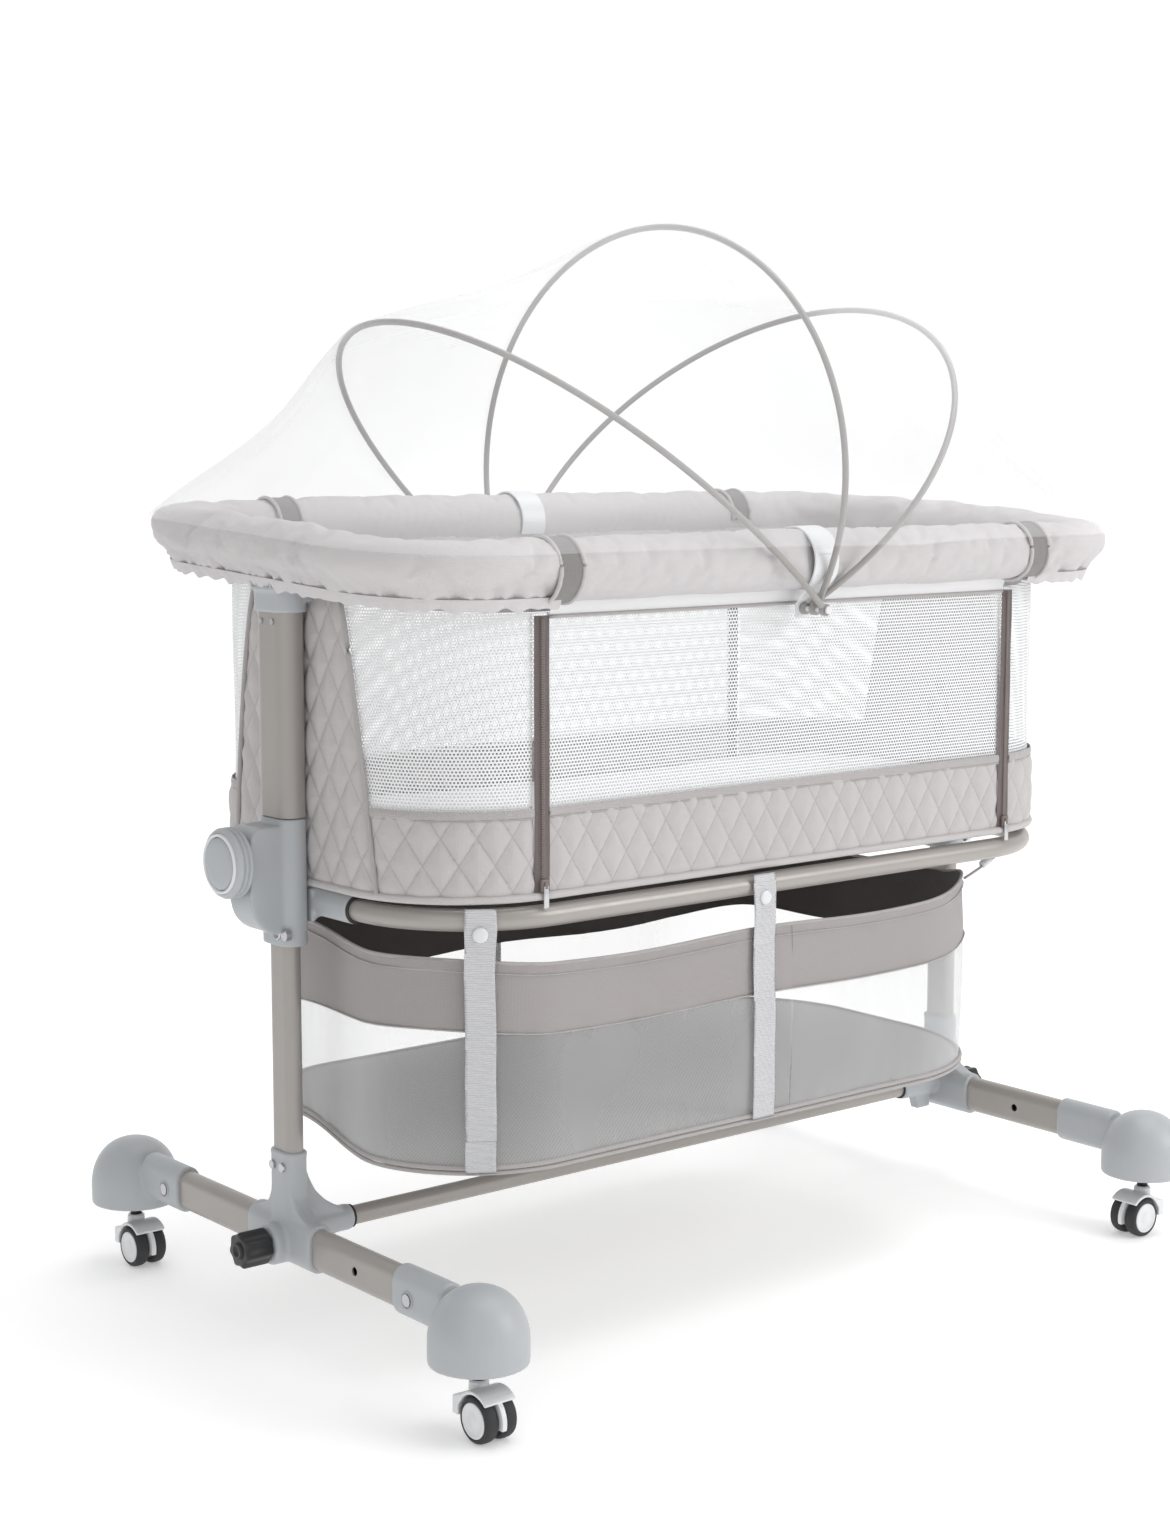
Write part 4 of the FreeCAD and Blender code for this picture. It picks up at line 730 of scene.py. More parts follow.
# ---- Fabric finishes ------------------------------------------------------------------
# Every cloth here is polyester: a close plain weave for the cover and walls, a knitted
# open mesh for the windows, a sheer for the net, ribbed webbing for the straps.

cloth_weave, weave_in, weave_out = new_group(
    "cloth_weave",
    [("Color", COLOR, (0.6, 0.6, 0.6, 1)), ("Threads", FLOAT, 1100.0), ("Mottle", FLOAT, 0.06)],
    [("Color", COLOR), ("Roughness", FLOAT), ("Height", FLOAT)])
weave_place = cloth_weave.nodes.new("ShaderNodeTexCoord").outputs["UV"]
weave_split = node_after(cloth_weave, "ShaderNodeSeparateXYZ", Vector=weave_place)
weave_waves = []
for direction in ("X", "Y"):
    turns = math_step(cloth_weave, "MULTIPLY", weave_split.outputs[direction],
                      weave_in.outputs["Threads"])
    weave_waves.append(math_step(cloth_weave, "SINE",
                                 math_step(cloth_weave, "MULTIPLY", turns, 2 * math.pi)))
weave_relief = math_step(cloth_weave, "MAXIMUM", weave_waves[0], weave_waves[1])
weave_cloud = node_after(cloth_weave, "ShaderNodeTexNoise", Vector=weave_place, Scale=7.0,
                         Detail=4.0)
weave_slub = node_after(cloth_weave, "ShaderNodeTexNoise", Vector=weave_place, Scale=420.0,
                        Detail=2.0)
weave_shift = math_step(cloth_weave, "SUBTRACT",
                        math_step(cloth_weave, "ADD", weave_cloud.outputs["Fac"],
                                  math_step(cloth_weave, "MULTIPLY",
                                            weave_slub.outputs["Fac"], 0.5)), 0.75)
weave_value = math_step(cloth_weave, "MULTIPLY_ADD", weave_shift, weave_in.outputs["Mottle"],
                        1.0)
weave_tint = node_after(cloth_weave, "ShaderNodeHueSaturation",
                        Color=weave_in.outputs["Color"], Value=weave_value)
weave_rough = math_step(cloth_weave, "MULTIPLY_ADD", weave_slub.outputs["Fac"], 0.12, 0.72)
weave_height = math_step(cloth_weave, "MULTIPLY_ADD", weave_slub.outputs["Fac"], 0.8,
                         weave_relief)
cloth_weave.links.new(weave_tint.outputs["Color"], weave_out.inputs["Color"])
cloth_weave.links.new(weave_rough, weave_out.inputs["Roughness"])
cloth_weave.links.new(weave_height, weave_out.inputs["Height"])


def woven(name, color, threads=900.0, mottle=0.07, depth=0.00012, sheen=0.25):
    """A matt cloth with a fine weave, slubs and soft mottling, its UVs in metres."""
    material, shader, tree = principled(name, color, 0.8, Sheen_Weight=sheen,
                                        Sheen_Roughness=0.5)
    weave = place_group(tree, cloth_weave, Color=(*color, 1), Threads=threads, Mottle=mottle)
    tree.links.new(weave.outputs["Color"], shader.inputs["Base Color"])
    tree.links.new(weave.outputs["Roughness"], shader.inputs["Roughness"])
    bump_into(tree, shader, weave.outputs["Height"], depth)
    return material, shader, tree, weave


def uv_axes(tree):
    """The two outputs of the UV, which is in metres."""
    place = tree.nodes.new("ShaderNodeTexCoord").outputs["UV"]
    return node_after(tree, "ShaderNodeSeparateXYZ", Vector=place).outputs


def rounded_plan(low_x, high_x, half_width, left_corner, right_corner):
    """A walk round a rounded rectangle: metres from its front middle, anticlockwise, to
    a place and the direction outwards. Also its length."""
    legs = ((high_x - right_corner, 0), (right_corner * math.pi / 2, right_corner),
            (2 * (half_width - right_corner), 0), (right_corner * math.pi / 2, right_corner),
            (high_x - right_corner - low_x - left_corner, 0),
            (left_corner * math.pi / 2, left_corner), (2 * (half_width - left_corner), 0),
            (left_corner * math.pi / 2, left_corner), (-low_x - left_corner, 0))
    total = sum(length for length, corner in legs)

    def walk(distance):
        left = distance % total
        spot, heading = Vector((0, -half_width)), 0.0
        for length, corner in legs:
            step = min(left, length)
            if corner:
                centre = spot + Vector((-math.sin(heading), math.cos(heading))) * corner
                heading += step / corner
                spot = centre + Vector((math.sin(heading), -math.cos(heading))) * corner
            else:
                spot = spot + Vector((math.cos(heading), math.sin(heading))) * step
            left -= step
            if left <= 0:
                break
        return spot, Vector((math.sin(heading), -math.cos(heading)))
    return walk, total


def patch(bm, columns, rows, spot):
    """A grid whose (u, v) from 0 to 1 go to spot(u, v): a place and its UV in metres."""
    layer = bm.loops.layers.uv.verify()
    made = bmesh.ops.create_grid(bm, x_segments=columns, y_segments=rows, size=0.5)["verts"]
    measured = {}
    for vert in made:
        vert.co, measured[vert] = spot(vert.co.x + 0.5, vert.co.y + 0.5)
    for face in {face for vert in made for face in vert.link_faces}:
        for loop in face.loops:
            loop[layer].uv = measured[loop.vert]


def piping(bm, spots, radius, sides=8, closed=False):
    """A round cord through the spots, with UVs in metres along it and round it."""
    layer = bm.loops.layers.uv.verify()
    rings, lengths = [], [0.0]
    count = len(spots)
    for index, spot in enumerate(spots):
        before = spots[index - 1] if index or closed else spot
        after = spots[(index + 1) % count] if index + 1 < count or closed else spot
        along = (after - before).normalized()
        across = along.cross(Vector((0, 0, 1)))
        if across.length < 0.2:
            across = along.cross(Vector((0, 1, 0)))
        across.normalize()
        up = across.cross(along)
        rings.append([bm.verts.new(spot + (across * math.cos(math.tau * step / sides)
                                           + up * math.sin(math.tau * step / sides)) * radius)
                      for step in range(sides)])
        if index:
            lengths.append(lengths[-1] + (spot - spots[index - 1]).length)
    lengths.append(lengths[-1] + 0.005)
    for index in range(count if closed else count - 1):
        low, high = rings[index], rings[(index + 1) % count]
        for step in range(sides):
            turn = (step + 1) % sides
            face = bm.faces.new((low[step], high[step], high[turn], low[turn]))
            for loop, uv in zip(face.loops, ((index, step), (index + 1, step),
                                             (index + 1, step + 1), (index, step + 1))):
                loop[layer].uv = (lengths[uv[0]], math.tau * radius * uv[1] / sides)
    if not closed:
        bm.faces.new(rings[0][::-1])
        bm.faces.new(rings[-1])
    bmesh.ops.recalc_face_normals(bm, faces=bm.faces)


def ramp(value, low, high):
    """0 below low, 1 above high, and a smooth step between."""
    t = min(max((value - low) / (high - low), 0.0), 1.0)
    return t * t * (3 - 2 * t)


rail_cloth, *_ = woven("rail_cloth", (0.62, 0.595, 0.60))
piping_cloth, *_ = woven("piping_cloth", (0.47, 0.445, 0.44), 700.0, 0.1, 0.0002)
binding_cloth, *_ = woven("binding_cloth", (0.60, 0.57, 0.565), 700.0, 0.1, 0.0002)
band_cloth, *_ = woven("band_cloth", (0.25, 0.235, 0.235), 700.0, 0.12, 0.0002)
white_cloth, *_ = woven("white_cloth", (0.84, 0.84, 0.85), 900.0, 0.04)

# Quilting: diamonds stitched through a thin wadding. The seams are a little darker.

quilt_pitch = 0.031
quilt_rise = 0.048
quilt_group, quilt_in, quilt_out = new_group("quilting", [("Depth", FLOAT, 1.0)],
                                             [("Seam", FLOAT)])
quilt_uv = uv_axes(quilt_group)
quilt_across = math_step(quilt_group, "MULTIPLY", quilt_uv["X"], math.pi / quilt_pitch)
quilt_up = math_step(quilt_group, "MULTIPLY", quilt_uv["Y"], math.pi / quilt_rise)
quilt_near = math_step(quilt_group, "MINIMUM", *[
    math_step(quilt_group, "ABSOLUTE", math_step(quilt_group, "SINE", math_step(
        quilt_group, kind, quilt_across, quilt_up))) for kind in ("ADD", "SUBTRACT")])
quilt_seam = math_step(quilt_group, "SUBTRACT", 1.0, math_step(
    quilt_group, "MINIMUM", math_step(quilt_group, "MULTIPLY", quilt_near, 9.0), 1.0))
quilt_group.links.new(math_step(quilt_group, "MULTIPLY", quilt_seam, quilt_in.outputs["Depth"]),
                      quilt_out.inputs["Seam"])


def quilted(name, color):
    material, shader, tree, weave = woven(name, color)
    stitched = place_group(tree, quilt_group, Depth=0.2)
    kept = math_step(tree, "SUBTRACT", 1.0, stitched.outputs["Seam"])
    darker = node_after(tree, "ShaderNodeHueSaturation", Color=weave.outputs["Color"],
                        Value=kept)
    tree.links.new(darker.outputs["Color"], shader.inputs["Base Color"])
    return material


quilt_cloth = quilted("quilt_cloth", (0.55, 0.52, 0.52))


def open_mesh(name, color, pitch, opening, softness=0.8):
    """A knitted mesh: square openings on a staggered grid, cut through with alpha."""
    material, shader, tree = principled(name, color, softness)
    place = uv_axes(tree)
    row = math_step(tree, "DIVIDE", place["Y"], pitch * 0.9)
    shift = math_step(tree, "MULTIPLY", math_step(tree, "MODULO", math_step(
        tree, "FLOOR", row), 2.0), 0.5)
    column = math_step(tree, "ADD", math_step(tree, "DIVIDE", place["X"], pitch), shift)
    off_row = math_step(tree, "ABSOLUTE", math_step(
        tree, "SUBTRACT", math_step(tree, "FRACT", row), 0.5))
    off_column = math_step(tree, "ABSOLUTE", math_step(
        tree, "SUBTRACT", math_step(tree, "FRACT", column), 0.5))
    solid = math_step(tree, "GREATER_THAN", math_step(tree, "MAXIMUM", off_row, off_column),
                      opening / 2)
    tree.links.new(solid, shader.inputs["Alpha"])
    bump_into(tree, shader, math_step(tree, "MAXIMUM", off_row, off_column), 0.0005)
    return material


window_mesh = open_mesh("window_mesh", (0.86, 0.87, 0.88), 0.0034, 0.56)


# ---- Deck and mattress ----------------------------------------------------------------
# A thin board in a cloth cover lies on the ring. The flat foam pad on it has a knitted
# cover with a piped top edge.

wall_reach, wall_width, wall_corner = 0.412, 0.202, 0.122
wall_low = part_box("front_panel")[0].z


def flat_pad(walk, total, inset, low, high, round_by, voxel, rounds):
    """A slab inside a plan, with soft edges."""
    bm = bmesh.new()
    verts = []
    for step in range(240):
        spot, outward = walk(total * step / 240)
        spot = spot - outward * inset
        verts.append(bm.verts.new((spot.x, spot.y, low)))
    face = bm.faces.new(verts)
    extruded(bm, face, (0, 0, high - low))
    bevelled(bm, level_edges(bm), round_by, 4)
    return melt(bm, voxel, rounds)


def box_uv(bm):
    """UVs in metres from above, or from the side where the cloth turns down."""
    layer = bm.loops.layers.uv.verify()
    bm.normal_update()
    for face in bm.faces:
        for loop in face.loops:
            spot = loop.vert.co
            loop[layer].uv = (spot.x, spot.y) if abs(face.normal.z) > 0.5 \
                else (spot.x + spot.y, spot.z)


def inflated(bm, held, pressure, slack, cap):
    """Cloth blown up gently where it isn't held, then kept within cap of where it was."""
    data = bpy.data.meshes.new("slack")
    rest = [vert.co.copy() for vert in bm.verts]
    weights = [held(vert.co) for vert in bm.verts]
    bm.to_mesh(data)
    bm.free()
    worked = bpy.data.objects.new("slack", data)
    bpy.context.scene.collection.objects.link(worked)
    group = worked.vertex_groups.new(name="held")
    for index, weight in enumerate(weights):
        group.add([index], weight, "REPLACE")
    modifier = worked.modifiers.new("cloth", "CLOTH")
    settings = modifier.settings
    settings.quality = 6
    settings.mass = 0.15
    settings.tension_stiffness = settings.compression_stiffness = 18
    settings.shear_stiffness = 8
    settings.bending_stiffness = 0.25
    settings.vertex_group_mass = "held"
    settings.shrink_min = -slack
    settings.use_pressure = True
    settings.uniform_pressure_force = pressure
    settings.effector_weights.gravity = 0
    modifier.collision_settings.use_collision = False
    modifier.point_cache.frame_start = 1
    modifier.point_cache.frame_end = 20
    for frame_number in range(1, 21):
        bpy.context.scene.frame_set(frame_number)
    graph = bpy.context.evaluated_depsgraph_get()
    result = bmesh.new()
    result.from_object(worked, graph)
    for vert, start in zip(result.verts, rest):
        moved = vert.co - start
        if moved.length > cap:
            vert.co = start + moved * (cap / moved.length)
    bpy.data.objects.remove(worked)
    bpy.data.meshes.remove(data)
    bpy.context.scene.frame_set(1)
    return result


deck_walk, deck_total = rounded_plan(-0.406, 0.406, 0.196, 0.117, 0.117)
deck_low, deck_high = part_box("deck_board")
deck = flat_pad(deck_walk, deck_total, 0.0, deck_low.z, deck_high.z, 0.0025, 0.003, 2)
box_uv(deck)
deck_cloth, *_ = woven("deck_cloth", (0.50, 0.475, 0.47))
new_piece("deck_cover", deck, deck_cloth, "bassinet", ["deck_board"])

pad_low, pad_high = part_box("mattress")
pad = flat_pad(deck_walk, deck_total, 0.008, pad_low.z, pad_high.z + 0.001, 0.009, 0.006, 4)
pad_middle = (pad_low.z + pad_high.z) / 2
pad = inflated(pad, lambda spot: 1.0 if spot.z < pad_middle - 0.004 else 0.0, 4.0, 0.012, 0.006)
pad = modified(pad, ("SUBSURF", {"levels": 1, "render_levels": 1}))
box_uv(pad)
pad_cloth, *_ = woven("pad_cloth", (0.74, 0.735, 0.74), 600.0, 0.05, 0.0003)
mattress = new_piece("mattress_pad", pad, pad_cloth, "bassinet",
                     ["mattress"])
pad_cord = bmesh.new()
pad_edge = []
for step in range(200):
    spot, outward = deck_walk(deck_total * step / 200)
    spot = spot - outward * 0.0085
    pad_edge.append(Vector((spot.x, spot.y, pad_high.z - 0.005)))
piping(pad_cord, pad_edge, 0.0022, closed=True)
new_piece("mattress_piping", pad_cord, white_cloth, "bassinet")


# ---- Basket walls ---------------------------------------------------------------------
# A quilted band runs round the foot of the basket with open mesh above it, and a quilted
# panel fills each end behind the post. Tape binds every join, and zips run up the front.

wall_walk, wall_total = rounded_plan(-wall_reach, wall_reach, wall_width, wall_corner,
                                     wall_corner)
rail_tilt = math.tan(math.radians(3.3))
rail_z = 0.7215
band_top = 0.500
# Halfway up the windows, where their width is measured.
window_z = 0.600
zip_at = 0.296
zip_half = 0.008
end_middle = wall_total / 4


def wall_top(distance):
    return rail_z - 0.038 + wall_walk(distance)[0].y * rail_tilt


def wall_spot(distance, z, out=0.0):
    spot, outward = wall_walk(distance)
    spot = spot + outward * out
    return Vector((spot.x, spot.y, z))


def panel_half(z):
    """Half the width of the end panel, which widens downwards."""
    drop = (wall_top(end_middle) - z) / (wall_top(end_middle) - wall_low)
    return 0.070 + 0.0455 * min(max(drop, 0.0), 1.0) ** 0.75


def puff(distance, z):
    """How far the wadding stands out between the stitched diamonds, from 0 to 1."""
    first = math.sin(math.pi * (distance / quilt_pitch + z / quilt_rise))
    second = math.sin(math.pi * (distance / quilt_pitch - z / quilt_rise))
    return min(abs(first), abs(second)) ** 0.55


def gather(along, away, reach=0.012):
    """Short puckers beside a seam."""
    ripple = noise.noise(Vector((along * 95, 0.3, away * 20)))
    return 0.0022 * ripple * math.exp(-away / reach)


def quilt_patch(start, stop, low, high, columns, rows):
    """A quilted stretch of wall between two edges, each a distance at a height."""
    bm = bmesh.new()

    def spot(u, v):
        top = high((start(band_top) + stop(band_top)) / 2) if callable(high) else high
        z = low + (top - low) * v
        begin, end = start(z), stop(z)
        distance = begin + (end - begin) * u
        edge = min(distance - begin, end - distance, z - low, top - z)
        swell = 0.0042 * puff(distance, z) * ramp(edge, -0.002, 0.014)
        wander = 0.0022 * noise.noise(Vector((distance * 9, z * 9, 4.0)))
        pull = gather(z, min(distance - begin, end - distance)) + gather(distance, top - z)
        out = 0.0006 + swell + pull + wander * ramp(edge, 0, 0.03)
        return wall_spot(distance, z, out), (distance, z)
    patch(bm, columns, rows, spot)
    return bm


def plain_patch(start, stop, low, high, columns, rows, out=-0.0015):
    bm = bmesh.new()

    def spot(u, v):
        begin, end = start(low), stop(low)
        rough_distance = begin + (end - begin) * u
        z = low + (high(rough_distance) - low) * v
        begin, end = start(z), stop(z)
        distance = begin + (end - begin) * u
        slack = 0.0035 * math.sin(math.pi * v) * math.sin(math.pi * u) \
            * noise.noise(Vector((distance * 5, z * 5, 1.0)))
        return wall_spot(distance, z, out + slack), (distance, z)
    patch(bm, columns, rows, spot)
    return bm


def fixed(value):
    return lambda z: value


def right_front_edge(z):
    return end_middle - panel_half(z)


def right_back_edge(z):
    return end_middle + panel_half(z)


def half_turn(edge):
    """The same edge on the other end of the basket."""
    return lambda z: wall_total / 2 + edge(z)


right_zip = fixed(zip_at + zip_half)
back_zip = fixed(wall_total / 2 - zip_at - zip_half)
WALLS = [
    ("front", fixed(-zip_at + zip_half), fixed(zip_at - zip_half), "front_panel"),
    ("back", fixed(wall_total / 2 - zip_at + zip_half),
     fixed(wall_total / 2 + zip_at - zip_half), "back_panel"),
    ("right_front", right_zip, right_front_edge, None),
    ("right_back", right_back_edge, back_zip, None),
    ("left_back", half_turn(right_zip), half_turn(right_front_edge), None),
    ("left_front", half_turn(right_back_edge), half_turn(back_zip), None)]
for name, start, stop, replaced in WALLS:
    width = stop(wall_low) - start(wall_low)
    columns = max(40, int(width / 0.0026))
    band = new_piece("quilt_band_" + name,
                     quilt_patch(start, stop, wall_low, band_top, columns, 30), quilt_cloth,
                     "bassinet", [replaced] if replaced else ())
    top_width = stop(window_z) - start(window_z)
    window = new_piece("window_" + name,
                       plain_patch(start, stop, band_top, wall_top, 48, 24), window_mesh,
                       "bassinet")
    wall_top((start(window_z) + stop(window_z)) / 2) - band_top
for side_name, edges in (("right", (right_front_edge, right_back_edge)),
                         ("left", (half_turn(right_front_edge), half_turn(right_back_edge)))):
    panel = new_piece("end_panel_" + side_name,
                      quilt_patch(*edges, wall_low, wall_top, 96, 104), quilt_cloth,
                      "bassinet", ["end_wall_" + side_name])

# Tape and piping: round the foot, along the top of the quilting, down the end panels and
# under the rail, where a narrow white strip shows between two cords.

foot_binding = bmesh.new()
foot_edge = [wall_spot(wall_total * step / 260, wall_low + 0.0022, 0.0018)
             for step in range(260)]
piping(foot_binding, foot_edge, 0.0036, closed=True)
new_piece("foot_binding", foot_binding, binding_cloth, "bassinet")

band_tape = bmesh.new()
for name, start, stop, _ in WALLS:
    low_edge, high_edge = band_top - 0.0045, band_top + 0.0035

    def tape_spot(u, v):
        z = low_edge + (high_edge - low_edge) * v
        distance = start(z) + (stop(z) - start(z)) * u
        out = 0.0016 + 0.0012 * math.sin(math.pi * v) \
            + 0.0005 * noise.noise(Vector((distance * 160, 0, 0)))
        return wall_spot(distance, z, out), (distance, z)
    patch(band_tape, 120, 4, tape_spot)
    tape_edge = [wall_spot(start(band_top) + (stop(band_top) - start(band_top)) * step / 90,
                           band_top - 0.0052, 0.0016) for step in range(91)]
    piping(band_tape, tape_edge, 0.0008, sides=6)
new_piece("band_tape", band_tape, piping_cloth, "bassinet")

panel_cords = bmesh.new()
for edge in (right_front_edge, right_back_edge, half_turn(right_front_edge),
             half_turn(right_back_edge)):
    top = wall_top(edge(wall_top(end_middle)))
    cord = [wall_spot(edge(wall_low + (top - wall_low) * step / 40),
                      wall_low + (top - wall_low) * step / 40, 0.002) for step in range(41)]
    piping(panel_cords, cord, 0.0024)
new_piece("panel_cords", panel_cords, piping_cloth, "bassinet")

top_strip, top_cords = bmesh.new(), bmesh.new()
for middle in (0.0, wall_total / 2):
    begin, end = middle - zip_at + zip_half, middle + zip_at - zip_half

    def strip_spot(u, v):
        distance = begin + (end - begin) * u
        return (wall_spot(distance, wall_top(distance) - 0.003 + 0.0145 * v,
                          0.0012 + 0.006 * v), (distance, v * 0.0145))
    patch(top_strip, 96, 4, strip_spot)
    for rise, out in ((-0.0035, 0.0018), (0.0115, 0.0072)):
        cord = []
        for step in range(61):
            distance = begin + (end - begin) * step / 60
            cord.append(wall_spot(distance, wall_top(distance) + rise, out))
        piping(top_cords, cord, 0.0016)
new_piece("top_strip", top_strip, white_cloth, "bassinet")
new_piece("top_cords", top_cords, piping_cloth, "bassinet")


# ---- Zips -----------------------------------------------------------------------------
# Four dark taupe coil zips, parked closed at the bottom. The two at the front have
# sliders that travel.

zip_cloth, *_ = woven("zip_cloth", (0.155, 0.125, 0.12), 800.0, 0.12, 0.0002)
zip_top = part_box("zip_tapes")[1].z
tapes, coils = bmesh.new(), bmesh.new()
for middle in (zip_at, -zip_at, wall_total / 2 - zip_at, wall_total / 2 + zip_at):
    top = zip_top if abs(middle) < wall_total / 4 else wall_top(middle)

    def zip_spot(u, v):
        across = (u - 0.5) * 2 * zip_half
        z = wall_low + (top - wall_low) * v
        fold = 0.0012 * math.exp(-(across / 0.0022) ** 2)
        return wall_spot(middle + across, z, 0.0016 + fold + 0.0005 * noise.noise(
            Vector((across * 400, z * 25, middle)))), (across, z)
    patch(tapes, 14, 70, zip_spot)
    for step in range(110):
        z = wall_low + 0.006 + (top - wall_low - 0.010) * step / 109
        spot = wall_spot(middle, z, 0.0028)
        outward = wall_walk(middle)[1]
        turn = Matrix.Rotation(math.atan2(outward.y, outward.x), 4, "Z")
        bmesh.ops.create_cube(coils, size=1, matrix=Matrix.Translation(spot) @ turn
                              @ Matrix.Diagonal((0.0011, 0.0034, 0.0013, 1)))
zip_tape = new_piece("zip_tape", tapes, zip_cloth, "bassinet", ["zip_tapes"])
coil_plastic = skinned("coil_plastic", (0.20, 0.165, 0.155), 0.35, 0.2, 900.0, 0.00002)
new_piece("zip_coils", coils, coil_plastic, "bassinet", smooth=False)

for side_name, side in SIDES.items():
    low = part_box("zip_slider_" + side_name)[0]
    middle = middle_of("zip_slider_" + side_name)
    slider = bmesh.new()
    for size, rise, out in (((0.0078, 0.0030, 0.0105), 0.006, 0.0004),
                            ((0.0034, 0.0026, 0.0062), 0.006, -0.0016)):
        soft_box(slider, (middle.x, middle.y + out, low.z + 0.014 + rise), size, 0.0007)
    new_piece("slider_" + side_name, slider, coil_plastic, "zip_slider_" + side_name,
              ["zip_slider_" + side_name])
    tab = bmesh.new()
    soft_box(tab, (middle.x, low.y + 0.0010, low.z + 0.010), (0.0056, 0.0013, 0.0195), 0.0005)
    new_piece("slider_tab_" + side_name, tab, screw_steel, "zip_slider_" + side_name)


# ---- Rail cover -----------------------------------------------------------------------
# A wadded tube of cloth round the rail. Between the two bands at the front and back it is
# a plain roll. Round the ends it flares above and is gathered under on elastic.

rail_half_length, rail_half_width, rail_corner = 0.4375, 0.2175, 0.090
rail_walk, rail_total = rounded_plan(-rail_half_length, rail_half_length, rail_half_width,
                                     rail_corner, rail_corner)
roll_radius = 0.02775
band_at = 0.296


def rail_spot(distance, angle, radius):
    spot, outward = rail_walk(distance)
    z = rail_z + spot.y * rail_tilt + radius * math.sin(angle)
    spot = spot + outward * radius * math.cos(angle)
    return Vector((spot.x, spot.y, z))


def end_share(distance):
    """1 round the ends of the rail and 0 between the bands."""
    folded = min(distance % rail_total, rail_total - distance % rail_total)
    from_end = abs(folded - rail_total / 4)
    return ramp(rail_total / 4 - band_at - from_end, -0.004, 0.030)


def seam_share(distance):
    """1 on the bands' seams, falling to 0 beside them."""
    folded = min(distance % rail_total, rail_total - distance % rail_total)
    away = min(abs(folded - band_at), abs(folded - (rail_total / 2 - band_at)))
    return math.exp(-(away / 0.012) ** 2)


def cover_radius(distance, angle):
    share = end_share(distance)
    degrees = (math.degrees(angle) + 180) % 360 - 180
    flare = 0.0040 * math.exp(-((degrees - 28) / 34) ** 2)
    tuck = -0.0062 * math.exp(-((degrees + 42) / 26) ** 2)
    hang = 0.0030 * math.exp(-((degrees + 92) / 22) ** 2)
    radius = roll_radius - 0.0008 + share * (flare + tuck + hang)
    under = math.exp(-((degrees + 62) / 38) ** 2)
    slant = distance * 62 + math.sin(angle) * 1.3
    ridge = 1 - abs(noise.noise(Vector((slant, angle * 0.35, 2.0)))) * 3.2
    radius += share * under * 0.0034 * max(ridge, -0.4)
    radius += 0.0014 * noise.noise(Vector((distance * 14, math.cos(angle), math.sin(angle))))
    radius += 0.0011 * noise.noise(Vector((distance * 40, 2 * math.cos(angle),
                                           2 * math.sin(angle)))) * (0.4 + share)
    radius -= 0.0016 * seam_share(distance)
    return radius


COVER_COLUMNS, COVER_ROWS = 620, 44
cover = bmesh.new()
cover_uv = cover.loops.layers.uv.verify()
rings = []
for column in range(COVER_COLUMNS):
    distance = rail_total * column / COVER_COLUMNS
    rings.append([cover.verts.new(rail_spot(distance, math.tau * row / COVER_ROWS,
                                            cover_radius(distance,
                                                         math.tau * row / COVER_ROWS)))
                  for row in range(COVER_ROWS)])
for column in range(COVER_COLUMNS):
    this, following = rings[column], rings[(column + 1) % COVER_COLUMNS]
    for row in range(COVER_ROWS):
        turn = (row + 1) % COVER_ROWS
        face = cover.faces.new((this[row], following[row], following[turn], this[turn]))
        for loop, (across, up) in zip(face.loops, ((column, row), (column + 1, row),
                                                   (column + 1, row + 1), (column, row + 1))):
            loop[cover_uv].uv = (rail_total * across / COVER_COLUMNS,
                                 math.tau * roll_radius * up / COVER_ROWS)
bmesh.ops.recalc_face_normals(cover, faces=cover.faces)
cover.verts.index_update()
held_spots = {}
for column, ring in enumerate(rings):
    distance = rail_total * column / COVER_COLUMNS
    for row, vert in enumerate(ring):
        degrees = (360 * row / COVER_ROWS + 180) % 360 - 180
        under = max(math.exp(-((degrees + 100) / 45) ** 2),
                    math.exp(-((abs(degrees) - 180) / 60) ** 2) * 0.6)
        held_spots[tuple(vert.co)] = min(max(under, seam_share(distance)), 1.0)
cover = inflated(cover, lambda spot: held_spots[tuple(spot)], 4.0, 0.022, 0.004)
rail_cover = new_piece("rail_cover_cloth", cover, rail_cloth, "bassinet",
                       ["rail_cover"])

# The gathered hem under each end, the dark bands with their piping, and the skirt inside.

ruffle = bmesh.new()
for middle in (rail_total / 4, rail_total * 3 / 4):
    reach = rail_total / 4 - band_at

    def ruffle_spot(u, v):
        distance = middle - reach + 2 * reach * u
        wave = noise.noise(Vector((distance * 75, 0.0, 7.0)))
        angle = math.radians(-58 - 16 * v)
        radius = 0.0262 + 0.0075 * v + wave * 0.0044 * v
        return rail_spot(distance, angle, radius), (distance, 0.008 * v)
    patch(ruffle, 460, 5, ruffle_spot)
hem = new_piece("rail_hem", ruffle, rail_cloth, "bassinet")

